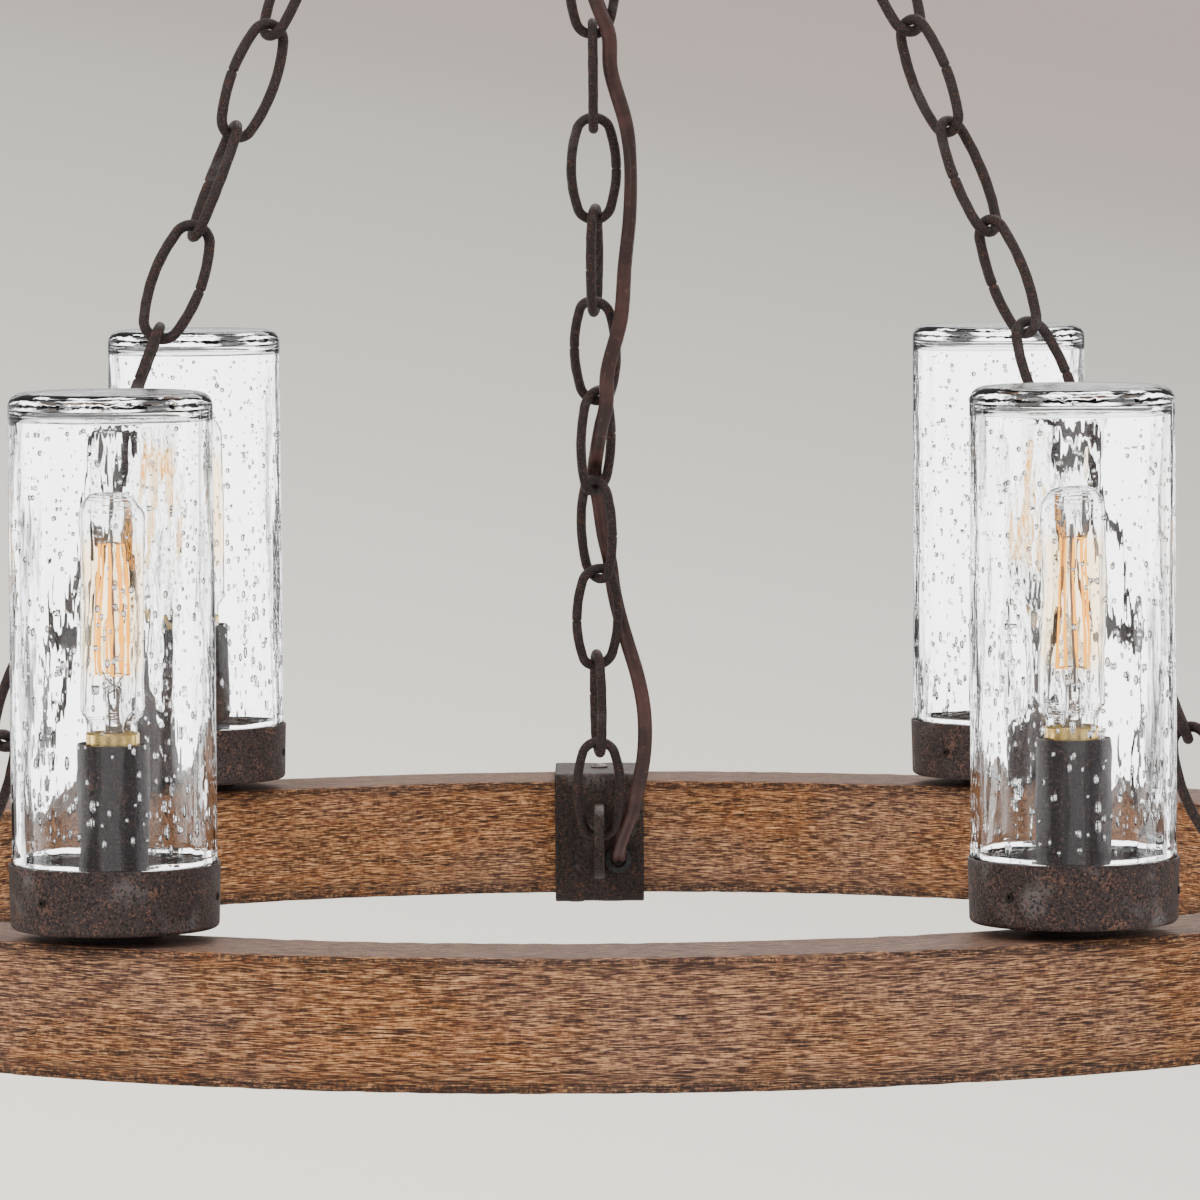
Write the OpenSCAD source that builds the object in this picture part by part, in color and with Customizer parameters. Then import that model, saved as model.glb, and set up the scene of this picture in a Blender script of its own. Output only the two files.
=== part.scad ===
// Wagon wheel chandelier: a wooden wheel rim that hangs on three chain legs and carries six
// seeded-glass lamps. Lengths are in millimetres, angles in degrees. The origin is the middle of
// the ceiling face, +Z points up, and the back leg is on the +Y side.

/* [Wheel rim] */
// Outside diameter of the wooden rim
rim_od = 1004; // [900:2:1100]
// Width of the rim from its inner to its outer face
rim_w = 67; // [62:1:80]
// Height of the rim
rim_h = 66; // [60:1:80]
// Radius of the worn corners of the rim
rim_edge = 2.5; // [1:0.5:4]
// Width of the wiring groove under the rim
groove_w = 24; // [20:1:28]
// Depth of the wiring groove, with its cover
groove_d = 26; // [24:1:32]
// Thickness of the strip that covers the groove
cover_t = 3; // [2:0.5:4]
// How far the cover strip laps past each side of the groove
cover_lap = 4; // [3:0.5:6]

/* [Lamp cups] */
// Outside diameter of a cup at its lip
cup_od = 103.6; // [96:0.2:112]
// Height of a cup
cup_h = 31.8; // [26:0.2:40]
// Thickness of the spun sheet of a cup
cup_wall = 1; // [0.8:0.1:1.4]
// How much smaller the radius of a cup is at its foot
cup_draft = 0.7; // [0:0.1:1.5]
// Outside radius of the rounded foot of a cup
cup_edge = 2.6; // [2:0.2:4]
// Diameter of the spacer under a cup
spacer_od = 46; // [36:1:50]
// Height of the spacer under a cup
spacer_h = 5.8; // [4:0.2:8]
// Diameter of a shade set screw
set_screw_d = 4; // [3:0.5:5]
// Length of a shade set screw
set_screw_len = 2; // [1.6:0.2:5]

/* [Glass shades] */
// Outside diameter of a shade just above its cup
glass_od = 101.2; // [96:0.2:110]
// Height of a shade above the lip of its cup
glass_h = 230; // [200:1:260]
// Thickness of the glass wall
glass_wall = 4.5; // [3.5:0.5:6]
// Thickness of the closed top of the glass
glass_top = 8; // [5:0.5:10]
// Radius of the shoulder round the top of a shade
glass_shoulder = 7; // [5:0.5:9]
// How much smaller the radius of a shade is at its top
glass_draft = 0.4; // [0:0.1:2]
// Gap between the lip of a shade and the inside of its cup
lip_gap = 0.4; // [0.3:0.1:0.8]

/* [Sockets] */
// Outside diameter of a socket cover tube
tube_od = 35.6; // [34:0.2:40]
// Wall of a socket cover tube
tube_wall = 1; // [0.8:0.1:1.4]
// Height of a socket cover tube above the floor of its cup
tube_h = 89; // [80:1:100]
// Diameter of a lamp socket
socket_od = 31; // [30:0.2:31.8]
// Height of a lamp socket
socket_h = 46; // [40:1:52]
// Outside diameter of the threaded pipe that clamps a lamp
pipe_od = 9.6; // [9:0.2:10]
// Bore of the threaded pipe
pipe_id = 6.8; // [6:0.2:7.2]
// Size of the pipe nuts across their flats
nut_af = 14; // [13:0.5:16]
// Thickness of a pipe nut
nut_h = 4; // [3:0.5:5]

/* [Bulbs] */
// Diameter of the tubular bulb
bulb_d = 32; // [30:0.5:34]
// Length of the bulb glass above its brass collar
bulb_len = 117; // [100:1:125]
// Thickness of the bulb glass
bulb_wall = 0.9; // [0.7:0.1:1.2]
// Diameter of the brass screw base
base_d = 26.2; // [25.8:0.1:26.4]
// Length of the brass screw base
base_len = 24; // [22:1:26]
// How much of the brass base shows above the socket cover
base_show = 6; // [4:0.5:8]
// Number of upright filament strands
strands = 6; // [4:2:8]

/* [Chain] */
// Wire diameter of a link
link_wire = 5.8; // [5:0.1:6.4]
// Inside length of a link
link_in = 57.2; // [50:0.2:64]
// Outside width of a link
link_w = 31; // [29:0.5:34]
// Gap left where one link bears on the next
link_gap = 0.2; // [0.1:0.05:0.3]
// Number of links in a leg
leg_links = 17; // [15:1:19]

/* [Leg straps] */
// Width of a strap
strap_w = 52; // [44:1:60]
// Thickness of a strap
strap_t = 5; // [4:0.5:6]
// How far a strap turns down over the outer face of the rim
strap_lip = 12; // [8:1:18]
// Height of the lug on a strap, which is also the diameter of its round end
lug_h = 42; // [36:1:44]
// How far the lug stands out from its strap
lug_reach = 51; // [44:1:58]
// Thickness of the lug
lug_t = 6; // [5:0.5:7]
// Hole in the lug that takes the first link
lug_hole = 16; // [15:0.5:20]
// Depth of the middle of the lug below the top of the rim
lug_drop = 33; // [30:1:36]

/* [Ceiling fitting] */
// Diameter of the canopy
canopy_od = 127; // [115:1:140]
// Height of the canopy
canopy_h = 26; // [22:1:32]
// Thickness of the canopy sheet
canopy_wall = 1.2; // [1:0.1:1.6]
// Mean radius of the canopy loop
loop_r = 13; // [12:0.5:16]
// Wire diameter of the canopy loop
loop_wire = 6.4; // [6:0.2:7]
// Mean radius of the ring that gathers the legs
ring_r = 30; // [27:1:36]
// Wire diameter of the gathering ring
ring_wire = 8; // [7:0.5:9]
// Distance between the two box slots in the crossbar
box_holes = 88.9; // [84:0.1:92]

/* [Hidden] */
$fn = 96;

// Small clearances: face to face seats, a pipe in its hole, and a bulb base in its socket.
seat = 0.2;
pipe_fit = 0.3;
base_fit = 0.08;

// Lamps stand at six even places on the middle of the rim; lamp 1 is on the +X side.
lamp_angles = [for (i = [0:5]) 60 * i];
rim_ro = rim_od / 2;
rim_ri = rim_ro - rim_w;
rim_rm = rim_ro - rim_w / 2;

// Ceiling fitting, from the ceiling down.
crossbar_t = 2.5;
crossbar_len = 108;
crossbar_wid = 19;
slot_w = 5.2;
slot_len = 12;
nut_ring_h = 6;
nut_ring_r = 11;
loop_collar_h = 8;
stem_r = 4.8;
loop_z = -(canopy_h + seat + nut_ring_h + loop_collar_h + loop_r + loop_wire / 2 - 1);
link_top_z = loop_z - loop_r + (loop_wire + link_wire) / 2 + link_gap;
link_bottom_z = link_top_z - link_in - link_wire;
ring_z = link_bottom_z + (link_wire + ring_wire) / 2 + link_gap - ring_r;

// Chain legs. All three have the same links; the back leg is the longest, so it sets the height.
// A leg runs from the middle of its lug's hole to the wire of the gathering ring. The first link
// bears on both edges of the lug, so its bend stands off by bend_rise.
lug_r = rim_ri - strap_t - lug_reach + lug_h / 2;
link_end_r = (7 * (link_w - link_wire) / 2 - (link_in + link_wire) / 2) / 6;
bend_a = asin(lug_t / 2 / link_end_r);
bend_rise = link_end_r * (1 - cos(bend_a)) + link_wire / 2 * (1 / cos(bend_a) - 1);
lug_seat = lug_hole / 2 - link_wire / 2 - bend_rise - link_gap;
ring_seat = (ring_wire + link_wire) / 2 + link_gap;
chain_len = (leg_links - 1) * (link_in - link_gap) + link_in + link_wire;
leg_len = lug_seat + chain_len - ring_seat;
lug_z = ring_z - ring_r - sqrt(leg_len * leg_len - lug_r * lug_r);
rim_top = lug_z + lug_drop;
rim_bottom = rim_top - rim_h;
leg_angles = [90, 210, 330];

// How far each leg's links are turned along the leg, on top of the quarter turn from link to link.
// The first number of a pair is the link, counted from the strap, and the second its turn.
back_turns = [[1, 0], [3, 20], [4, 45], [5, 47], [6, 70], [8, 90], [12, 90]];
left_turns = [[1, 0], [6, 62], [7, 62], [9, 90], [12, 110]];
right_turns = [[1, 0], [6, 63], [8, 80], [9, 74], [12, 60]];

// Places of the strap screws: one on the middle of the rim, one under the rim beside its groove.
screw_low_r = rim_ri + (rim_w - groove_w - 2 * cover_lap) / 4;
screw_side = 14;

// Cups and what stands in them; heights are above the top of the rim.
cup_z = spacer_h;
floor_z = cup_z + cup_wall;
cup_lip_z = cup_z + cup_h;
lip_r = cup_od / 2 - cup_wall - cup_draft - lip_gap;
tube_top = floor_z + tube_h;
socket_top = tube_top - 1.5;
socket_bore = base_d / 2 + base_fit;
base_top = tube_top + base_show;
pipe_top = socket_top - socket_h + 9;
pipe_low = -(rim_h - groove_d) - nut_h - 3;
screw_turn = 230;
splice_y = 31;
wiring_r = 2.6;
wiring_z = -rim_h + cover_t + wiring_r;

// The twin-lead cord: its width, its thickness, and its place in the strap and in the canopy.
cord_w = 8.4;
cord_t = 4.2;
cord_hole_x = 11;
cord_hole_drop = 46;
bush_r = 6;
bush_bore = 4.6;
flange_r = 7.8;
canopy_hole = [14, 31];
// Where the back strap's face stands at the cord hole.
back_face_y = sqrt(pow(rim_ri - strap_t, 2) - pow(cord_hole_x + flange_r, 2));

// Route of the cord in round numbers. It leaves the ceiling box, and passes the hanging link and
// the gathering ring; each row here is x, y, z and the turn of its wide side.
canopy_route = [[14, 31, -4, 0], [14, 31, -18, 0], [14, 31, -34, 0], [14, 29, -54, 0],
  [14, 24, -74, 0]];
link_route = [[14, 20, -94, 0], [13, 17, -112, 0], [12, 15, -130, 0]];
ring_route = [[11, 15, -150, 0]];
// Then it is woven down the back leg. Each row is the height up the leg, how far to the right of
// the leg, how far out from it towards the middle of the wheel, and the turn of its wide side.
leg_route = [
  [974, 11, -21, 0], [956, 11, -17, 0], [936, 11, -13, 0], [912, 11, -10, 0], [886, 11, -8, 0],
  [858, 12, -6, 0], [830, 15, -2, 0], [800, 19, 1, 0], [770, 20.5, 3, 0], [740, 18, 4, 0],
  [715, 13, 5, 0], [690, 9, 6, 0], [668, 4, 4, 0], [652, -1.5, -2.5, 0], [634, -8.5, -6, 0],
  [612, -8, -4, 0], [590, -9, -5, 0], [568, -7, -6, 0], [550, -2, -2, 0], [536, 3, 3, 0],
  [519, 9, 6, 0], [497, 10, 6, 0], [465, 18, 5, 20], [440, 20.5, 4, 40], [409, 20, 5, 30],
  [377, 17, 5, 20], [345, 14.5, 8.5, 0], [314, 7, 10, 0], [292, 6, 9.5, 0], [276, 3, 6, 0],
  [257, 0.5, -1, 0], [238, -1, -9.5, 0], [219, 1.5, -8.5, 0], [200, 4, -6, 0],
  [181, 7.5, -7.5, 0], [162, 9.5, -9.5, 0], [144, 13, -9.5, 0], [127, 17.5, -8, 0],
  [110, 22.5, -4, 0], [92, 26, -1, 0], [74, 27, 0, 0], [56, 26, 0, 0], [38, 23, 0, 0],
  [22, 20, -0.5, 0], [6, 15, -4, 0], [-8, 11.5, -8, 0], [-18, 11, -14, 0]];
// It ends by passing through the strap and the wood: how far behind the strap's face each row is.
rim_route = [2, 12, 22, splice_y];

// ---- Shared shapes -------------------------------------------------------------------------

// Points of an arc, counted anticlockwise from a0 to a1.
function arc(cx, cy, r, a0, a1, n = 8) =
  [for (i = [0:n]) [cx + r * cos(a0 + (a1 - a0) * i / n), cy + r * sin(a0 + (a1 - a0) * i / n)]];

// A round wire bent to an arc in the XZ plane, from angle a0 over a sweep of angle a.
module wire_arc(r, wire, a0, a, steps) {
  rotate([90, 0, 0])
    rotate([0, 0, a0])
      rotate_extrude(angle = a, $fn = steps)
        translate([r, 0])
          circle(d = wire, $fn = 32);
}

// A closed round ring of wire in the XZ plane.
module wire_ring(r, wire) {
  rotate([90, 0, 0])
    rotate_extrude($fn = 96)
      translate([r, 0])
        circle(d = wire, $fn = 32);
}

// One chain link in the XZ plane, long way up, made of two tight end bends and two bowed sides.
// The sides leave the end bends on a slope of 7 in 24, with a faint swell where they meet.
module oval_link(inside, width, wire) {
  half_len = (inside + wire) / 2;
  half_wid = (width - wire) / 2;
  end_r = (7 * half_wid - half_len) / 6;
  end_z = half_len - end_r;
  side_off = end_z * 24 / 7;
  side_r = end_r + end_z * 25 / 7;
  side_a = atan(7 / 24);
  for (s = [0, 180])
    rotate([0, s, 0]) {
      translate([0, 0, end_z])
        wire_arc(end_r, wire, side_a, 180 - 2 * side_a, 72);
      translate([-side_off, 0, 0])
        wire_arc(side_r, wire, -side_a, 2 * side_a, 360);
      for (m = [-1, 1])
        translate([m * end_r * cos(side_a), 0, end_z + end_r * sin(side_a)])
          sphere(d = wire + 0.24, $fn = 32);
    }
}

// Moves a child to each lamp's place, with z = 0 on the top of the rim.
module at_lamp(i) {
  rotate([0, 0, lamp_angles[i]])
    translate([rim_rm, 0, rim_top])
      children();
}

// ---- Ceiling fitting -----------------------------------------------------------------------

module crossbar() {
  color("silver")
    difference() {
      translate([-crossbar_len / 2, -crossbar_wid / 2, -crossbar_t])
        cube([crossbar_len, crossbar_wid, crossbar_t]);
      for (s = [-1, 1])
        for (e = [-1, 1])
          translate([s * box_holes / 2 + e * (slot_len - slot_w) / 2, 0, -crossbar_t - 1])
            cylinder(d = slot_w, h = crossbar_t + 2, $fn = 48);
      for (s = [-1, 1])
        translate([s * box_holes / 2 - (slot_len - slot_w) / 2, -slot_w / 2, -crossbar_t - 1])
          cube([slot_len - slot_w, slot_w, crossbar_t + 2]);
      translate([0, 0, -crossbar_t - 1])
        cylinder(r = stem_r + 0.1, h = crossbar_t + 2);
    }
}

module canopy() {
  ro = canopy_od / 2;
  dome_r = canopy_h - 6;
  w = canopy_wall;
  color("#3a302a")
    difference() {
      rotate_extrude()
        polygon(concat(
          [[stem_r + pipe_fit, -canopy_h]],
          arc(ro - dome_r, -6, dome_r, -90, 0, 12),
          [[ro, 0], [ro - w, 0], [ro - w, -6]],
          arc(ro - dome_r, -6, dome_r - w, 0, -90, 12),
          [[stem_r + pipe_fit, -canopy_h + w]]));
      translate([canopy_hole[0], canopy_hole[1], -canopy_h - 1])
        cylinder(r = bush_r, h = canopy_h);
    }
}

module canopy_loop() {
  color("#3a302a") {
    translate([0, 0, loop_z])
      wire_ring(loop_r, loop_wire);
    translate([0, 0, loop_z + loop_r])
      cylinder(r = 8, h = loop_wire / 2 - 1 + loop_collar_h);
    translate([0, 0, loop_z + loop_r])
      cylinder(r = stem_r, h = -loop_z - loop_r - 0.5);
  }
}

module collar_nut() {
  color("#3a302a")
    translate([0, 0, -canopy_h - seat - nut_ring_h])
      difference() {
        union() {
          cylinder(r = nut_ring_r, h = nut_ring_h);
          cylinder(r = nut_ring_r + 0.6, h = 1.5);
        }
        translate([0, 0, -1])
          cylinder(r = stem_r + 0.1, h = nut_ring_h + 2);
      }
}

// A flanged bush that guides the cord through a sheet of the given thickness, flange below.
module bush(sheet) {
  difference() {
    union() {
      cylinder(r = bush_r - 0.1, h = sheet + 2, $fn = 48);
      translate([0, 0, -1.6])
        cylinder(r = flange_r, h = 1.6, $fn = 48);
    }
    translate([0, 0, -3])
      cylinder(r = bush_bore, h = sheet + 8, $fn = 48);
  }
}

module canopy_bush() {
  color("#151515")
    translate([canopy_hole[0], canopy_hole[1], -canopy_h])
      bush(canopy_wall);
}

module hanging_link() {
  color("#2e2724")
    translate([0, 0, (link_top_z + link_bottom_z) / 2])
      rotate([0, 0, 90])
        oval_link(link_in, link_w, link_wire);
}

module gathering_ring() {
  color("#2e2724")
    translate([0, 0, ring_z])
      wire_ring(ring_r, ring_wire);
}

// ---- Chain legs ----------------------------------------------------------------------------

// Middle of the hole in a leg's lug, and the middle of the ring's wire where that leg hangs.
function lug_at(a) = [lug_r * cos(a), lug_r * sin(a), lug_z];
function ring_at(a) =
  let (e = lug_at(a), lean = atan2(e[0], ring_z - lug_z))
  [ring_r * sin(lean), 0, ring_z - ring_r * cos(lean)];

// A leg's frame: up the leg, across it, and square to both.
function up_leg(a) = let (v = ring_at(a) - lug_at(a)) v / norm(v);
function across_leg(a) = let (u = up_leg(a), c = cross(u, [cos(a), sin(a), 0])) -c / norm(c);

// The turn that stands the last link square to the ring's wire, nearest to the chain's own turn.
function ring_turn(a) =
  let (u = up_leg(a), t = across_leg(a), n = cross(u, t), q = atan2([0, 1, 0] * n, [0, 1, 0] * t),
       d = q - 90 * (leg_links - 1))
  d - 180 * round((d - 80) / 180);

module leg_chain(a, turns) {
  u = up_leg(a);
  t = across_leg(a);
  n = cross(u, t);
  span = norm(ring_at(a) - lug_at(a)) - lug_seat + ring_seat;
  pitch = (span - link_in - link_wire) / (leg_links - 1);
  all_turns = concat(turns, [[leg_links, ring_turn(a)]]);
  for (k = [1:leg_links]) {
    middle = lug_at(a) + u * (lug_seat + (link_in + link_wire) / 2 + (k - 1) * pitch);
    turn = 90 * (k - 1) + lookup(k, all_turns);
    multmatrix([[t[0], n[0], u[0], middle[0]], [t[1], n[1], u[1], middle[1]],
                [t[2], n[2], u[2], middle[2]], [0, 0, 0, 1]])
      rotate([0, 0, turn])
        oval_link(link_in, link_w, link_wire);
  }
}

module back_leg_chain() {
  color("#2e2724")
    leg_chain(90, back_turns);
}

module left_leg_chain() {
  color("#2e2724")
    leg_chain(210, left_turns);
}

module right_leg_chain() {
  color("#2e2724")
    leg_chain(330, right_turns);
}

// ---- Straps --------------------------------------------------------------------------------

// A bent iron strap over the top, the inner face and the bottom of the rim, with its welded lug.
module strap(a, cord_hole) {
  difference() {
    union() {
      intersection() {
        rotate_extrude($fn = 360)
          difference() {
            translate([rim_ri, rim_bottom])
              offset(r = strap_t, $fn = 48)
                square([rim_w, rim_h]);
            translate([rim_ri, rim_bottom])
              square([rim_w, rim_h]);
            translate([rim_ro - 2, rim_bottom - strap_t - 1])
              square([strap_t + 3, rim_h + strap_t + 1 - strap_lip]);
          }
        rotate([0, 0, a])
          translate([rim_ri - 40, -strap_w / 2, rim_bottom - 40])
            cube([rim_w + 80, strap_w, rim_h + 80]);
      }
      rotate([0, 0, a])
        translate([lug_r, 0, lug_z])
          rotate([90, 0, 0])
            linear_extrude(lug_t, center = true)
              difference() {
                union() {
                  circle(d = lug_h);
                  translate([0, -lug_h / 2])
                    square([lug_reach - lug_h / 2 + 1, lug_h]);
                }
                circle(d = lug_hole);
              }
    }
    rotate([0, 0, a]) {
      translate([rim_rm, 0, rim_top - 1])
        cylinder(r = 2.4, h = strap_t + 2, $fn = 32);
      translate([screw_low_r, screw_side, rim_bottom - strap_t - 1])
        cylinder(r = 2.4, h = strap_t + 2, $fn = 32);
    }
    if (cord_hole)
      translate([cord_hole_x, rim_ri + 4, rim_top - cord_hole_drop])
        rotate([90, 0, 0])
          cylinder(r = bush_r, h = strap_t + 8, $fn = 48);
  }
}

module back_strap() {
  color("#2b2523")
    strap(90, true);
}

module left_strap() {
  color("#2b2523")
    strap(210, false);
}

module right_strap() {
  color("#2b2523")
    strap(330, false);
}

// A round-headed wood screw that points down, with the underside of its head at z = 0.
module wood_screw(len) {
  rotate_extrude($fn = 48)
    polygon(concat([[0, -len], [2.1, -len + 4], [2.1, 0], [5, 0], [5, 0.6]],
                   arc(0, -4.8, 7.4, 47, 90, 6)));
}

module strap_screws() {
  color("#6a6058")
    for (a = leg_angles)
      rotate([0, 0, a]) {
        translate([rim_rm, 0, rim_top + strap_t])
          wood_screw(28);
        translate([screw_low_r, screw_side, rim_bottom - strap_t])
          rotate([180, 0, 0])
            wood_screw(28);
      }
}

module cord_bush() {
  color("#151515")
    translate([cord_hole_x, back_face_y, rim_top - cord_hole_drop])
      rotate([-90, 0, 0])
        bush(strap_t);
}

// ---- Wheel rim -----------------------------------------------------------------------------

module rim_section() {
  r = rim_edge;
  difference() {
    union() {
      translate([rim_ri + r, rim_bottom])
        square([rim_w - 2 * r, rim_h]);
      translate([rim_ri, rim_bottom + r])
        square([rim_w, rim_h - 2 * r]);
      for (x = [rim_ri + r, rim_ro - r])
        for (y = [rim_bottom + r, rim_top - r])
          translate([x, y])
            circle(r = r, $fn = 32);
    }
    translate([rim_rm - groove_w / 2, rim_bottom - 1])
      square([groove_w, groove_d + 1]);
    translate([rim_rm - groove_w / 2 - cover_lap, rim_bottom - 1])
      square([groove_w + 2 * cover_lap, cover_t + 1]);
  }
}

module wheel_rim() {
  color("#7a5a3c")
    difference() {
      rotate_extrude($fn = 360)
        rim_section();
      for (i = [0:5])
        at_lamp(i)
          translate([0, 0, -rim_h])
            cylinder(r = pipe_od / 2 + pipe_fit, h = rim_h + 1, $fn = 48);
      for (a = leg_angles)
        rotate([0, 0, a]) {
          translate([rim_rm, 0, rim_top - 26])
            cylinder(r = 2.2, h = 27, $fn = 32);
          translate([screw_low_r, screw_side, rim_bottom - 1])
            cylinder(r = 2.2, h = 27, $fn = 32);
        }
      translate([cord_hole_x, rim_rm, rim_top - cord_hole_drop])
        rotate([90, 0, 0])
          cylinder(r = bush_r + 0.2, h = rim_w / 2 + 10, $fn = 48);
    }
}

module groove_cover() {
  color("#5d4632")
    rotate_extrude($fn = 360)
      translate([rim_rm - groove_w / 2 - cover_lap + seat, rim_bottom])
        square([groove_w + 2 * cover_lap - 2 * seat, cover_t - seat / 2]);
}

// The loom lies round the groove, with a lead that rises into each lamp's pipe, and a splice block
// where the cord joins it.
module rim_wiring() {
  color("#1c1c1c") {
    translate([0, 0, rim_top + wiring_z])
      rotate_extrude($fn = 180)
        translate([rim_rm, 0])
          circle(r = wiring_r, $fn = 24);
    for (i = [0:5])
      at_lamp(i)
        translate([0, 0, wiring_z])
          cylinder(r = 1.9, h = pipe_top - wiring_z + 4, $fn = 24);
    translate([cord_hole_x - 6, back_face_y + splice_y, rim_top - rim_h + cover_t])
      cube([12, 14, rim_h - cover_t - cord_hole_drop + 4]);
  }
}

// ---- Lamps ---------------------------------------------------------------------------------

module cup_spacers() {
  color("#1d1a18")
    for (i = [0:5])
      at_lamp(i)
        difference() {
          cylinder(d = spacer_od, h = spacer_h);
          translate([0, 0, -1])
            cylinder(r = pipe_od / 2 + pipe_fit, h = spacer_h + 2, $fn = 48);
        }
}

// A spun sheet cup with a rounded foot, a hole for the pipe, and three set screw holes.
module cup(i) {
  top_r = cup_od / 2;
  foot_r = top_r - cup_draft;
  w = cup_wall;
  color("#352c27")
    at_lamp(i)
      translate([0, 0, cup_z])
        difference() {
          rotate_extrude()
            polygon(concat(
              [[pipe_od / 2 + pipe_fit, 0]],
              arc(foot_r - cup_edge, cup_edge, cup_edge, -90, 0, 6),
              [[top_r, cup_h], [top_r - w, cup_h]],
              arc(foot_r - cup_edge, cup_edge, cup_edge - w, 0, -90, 6),
              [[pipe_od / 2 + pipe_fit, w]]));
          for (s = [0:2])
            rotate([0, 0, screw_turn + 120 * s - lamp_angles[i]])
              translate([top_r - 8, 0, cup_h / 2])
                rotate([0, 90, 0])
                  cylinder(d = set_screw_d + 0.2, h = 16, $fn = 32);
        }
}

// Socketed set screws, whose tips stop just short of the glass.
module set_screws() {
  color("#1b1715")
    for (i = [0:5])
      at_lamp(i)
        for (s = [0:2])
          rotate([0, 0, screw_turn + 120 * s - lamp_angles[i]])
            translate([lip_r + 0.3, 0, cup_z + cup_h / 2])
              rotate([0, 90, 0])
                difference() {
                  union() {
                    translate([0, 0, 0.5])
                      cylinder(d = set_screw_d, h = set_screw_len - 0.5, $fn = 32);
                    cylinder(d1 = set_screw_d - 1, d2 = set_screw_d, h = 0.5, $fn = 32);
                  }
                  translate([0, 0, 0.8])
                    cylinder(d = set_screw_d / 2, h = set_screw_len, $fn = 6);
                }
}

// The shade: a closed-top glass cylinder whose lower lip drops into the cup.
module shade(i) {
  low = floor_z + seat;
  step_z = cup_lip_z + seat;
  top_z = cup_lip_z + glass_h;
  ro = glass_od / 2;
  rt = ro - glass_draft;
  ri = lip_r - glass_wall;
  rti = rt - glass_wall;
  inner_r = glass_shoulder - 1;
  color([0.82, 0.86, 0.86, 0.35])
    at_lamp(i)
      rotate_extrude()
        polygon(concat(
          arc(ri + 1, low + 1, 1, 180, 270, 3),
          arc(lip_r - 2, low + 2, 2, -90, 0, 4),
          [[lip_r, step_z], [ro - 0.6, step_z], [ro, step_z + 0.6]],
          arc(rt - glass_shoulder, top_z - glass_shoulder, glass_shoulder, 0, 90, 8),
          [[0, top_z], [0, top_z - glass_top]],
          arc(rti - inner_r, top_z - glass_top - inner_r, inner_r, 90, 0, 8)));
}

module socket_covers() {
  color("#352c27")
    for (i = [0:5])
      at_lamp(i)
        translate([0, 0, floor_z])
          difference() {
            cylinder(d = tube_od, h = tube_h);
            translate([0, 0, -1])
              cylinder(d = tube_od - 2 * tube_wall, h = tube_h + 2);
          }
}

module lamp_sockets() {
  color("#e8e2d4")
    for (i = [0:5])
      at_lamp(i)
        translate([0, 0, socket_top - socket_h])
          difference() {
            union() {
              cylinder(r = 8, h = 13);
              translate([0, 0, 12])
                cylinder(d = socket_od, h = socket_h - 12);
            }
            translate([0, 0, -1])
              cylinder(r = pipe_od / 2 + 0.05, h = 10, $fn = 48);
            translate([0, 0, 8])
              cylinder(r = 2.4, h = 12, $fn = 32);
            translate([0, 0, socket_h - base_len + base_show - 4])
              cylinder(r = socket_bore, h = base_len);
          }
}

module lamp_pipes() {
  color("#8a7f70")
    for (i = [0:5])
      at_lamp(i)
        translate([0, 0, pipe_low])
          difference() {
            cylinder(d = pipe_od, h = pipe_top - pipe_low - 0.1, $fn = 48);
            translate([0, 0, -1])
              cylinder(d = pipe_id, h = pipe_top - pipe_low + 2, $fn = 48);
          }
}

// One nut under the roof of the groove and one on the floor of the cup clamp each lamp.
module pipe_nuts() {
  color("#8a7f70")
    for (i = [0:5])
      at_lamp(i)
        for (z = [groove_d - rim_h - nut_h, floor_z])
          translate([0, 0, z])
            difference() {
              cylinder(d = nut_af / cos(30), h = nut_h, $fn = 6);
              translate([0, 0, -1])
                cylinder(r = pipe_od / 2 + 0.05, h = nut_h + 2, $fn = 48);
            }
}

// ---- Bulbs ---------------------------------------------------------------------------------

module bulb(i) {
  r = bulb_d / 2;
  neck_r = base_d / 2 - 1.1;
  w = bulb_wall;
  z0 = base_top;
  z1 = base_top + bulb_len;
  dome = r - 4;
  color([0.9, 0.82, 0.62, 0.4])
    at_lamp(i)
      rotate_extrude()
        polygon(concat(
          [[neck_r - w, z0 - 5], [neck_r, z0 - 5], [neck_r, z0 + 3]],
          [for (p = [1:7]) [neck_r + (r - neck_r) * (1 - cos(180 * p / 8)) / 2, z0 + 3 + 9 * p / 8]],
          arc(r - dome, z1 - dome, dome, 0, 90, 8),
          [[0, z1], [0, z1 - w]],
          arc(r - dome, z1 - dome, dome - w, 90, 0, 8),
          [for (p = [7:-1:1])
            [neck_r - w + (r - neck_r) * (1 - cos(180 * p / 8)) / 2, z0 + 3 + 9 * p / 8]],
          [[neck_r - w, z0 + 3]]));
}

// The brass screw base, with its glass insulator cone and contact tip below.
module bulb_base(i) {
  r = base_d / 2;
  color("#b8924a")
    at_lamp(i)
      translate([0, 0, base_top - base_len])
        rotate_extrude()
          polygon([[0, -3], [2.6, -3], [4, -1], [8, 0], [r - 1, 4], [r, 5], [r, base_len - 1],
                   [r - 0.8, base_len], [r - 0.9, base_len], [r - 0.9, 6], [0, 3]]);
}

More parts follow.
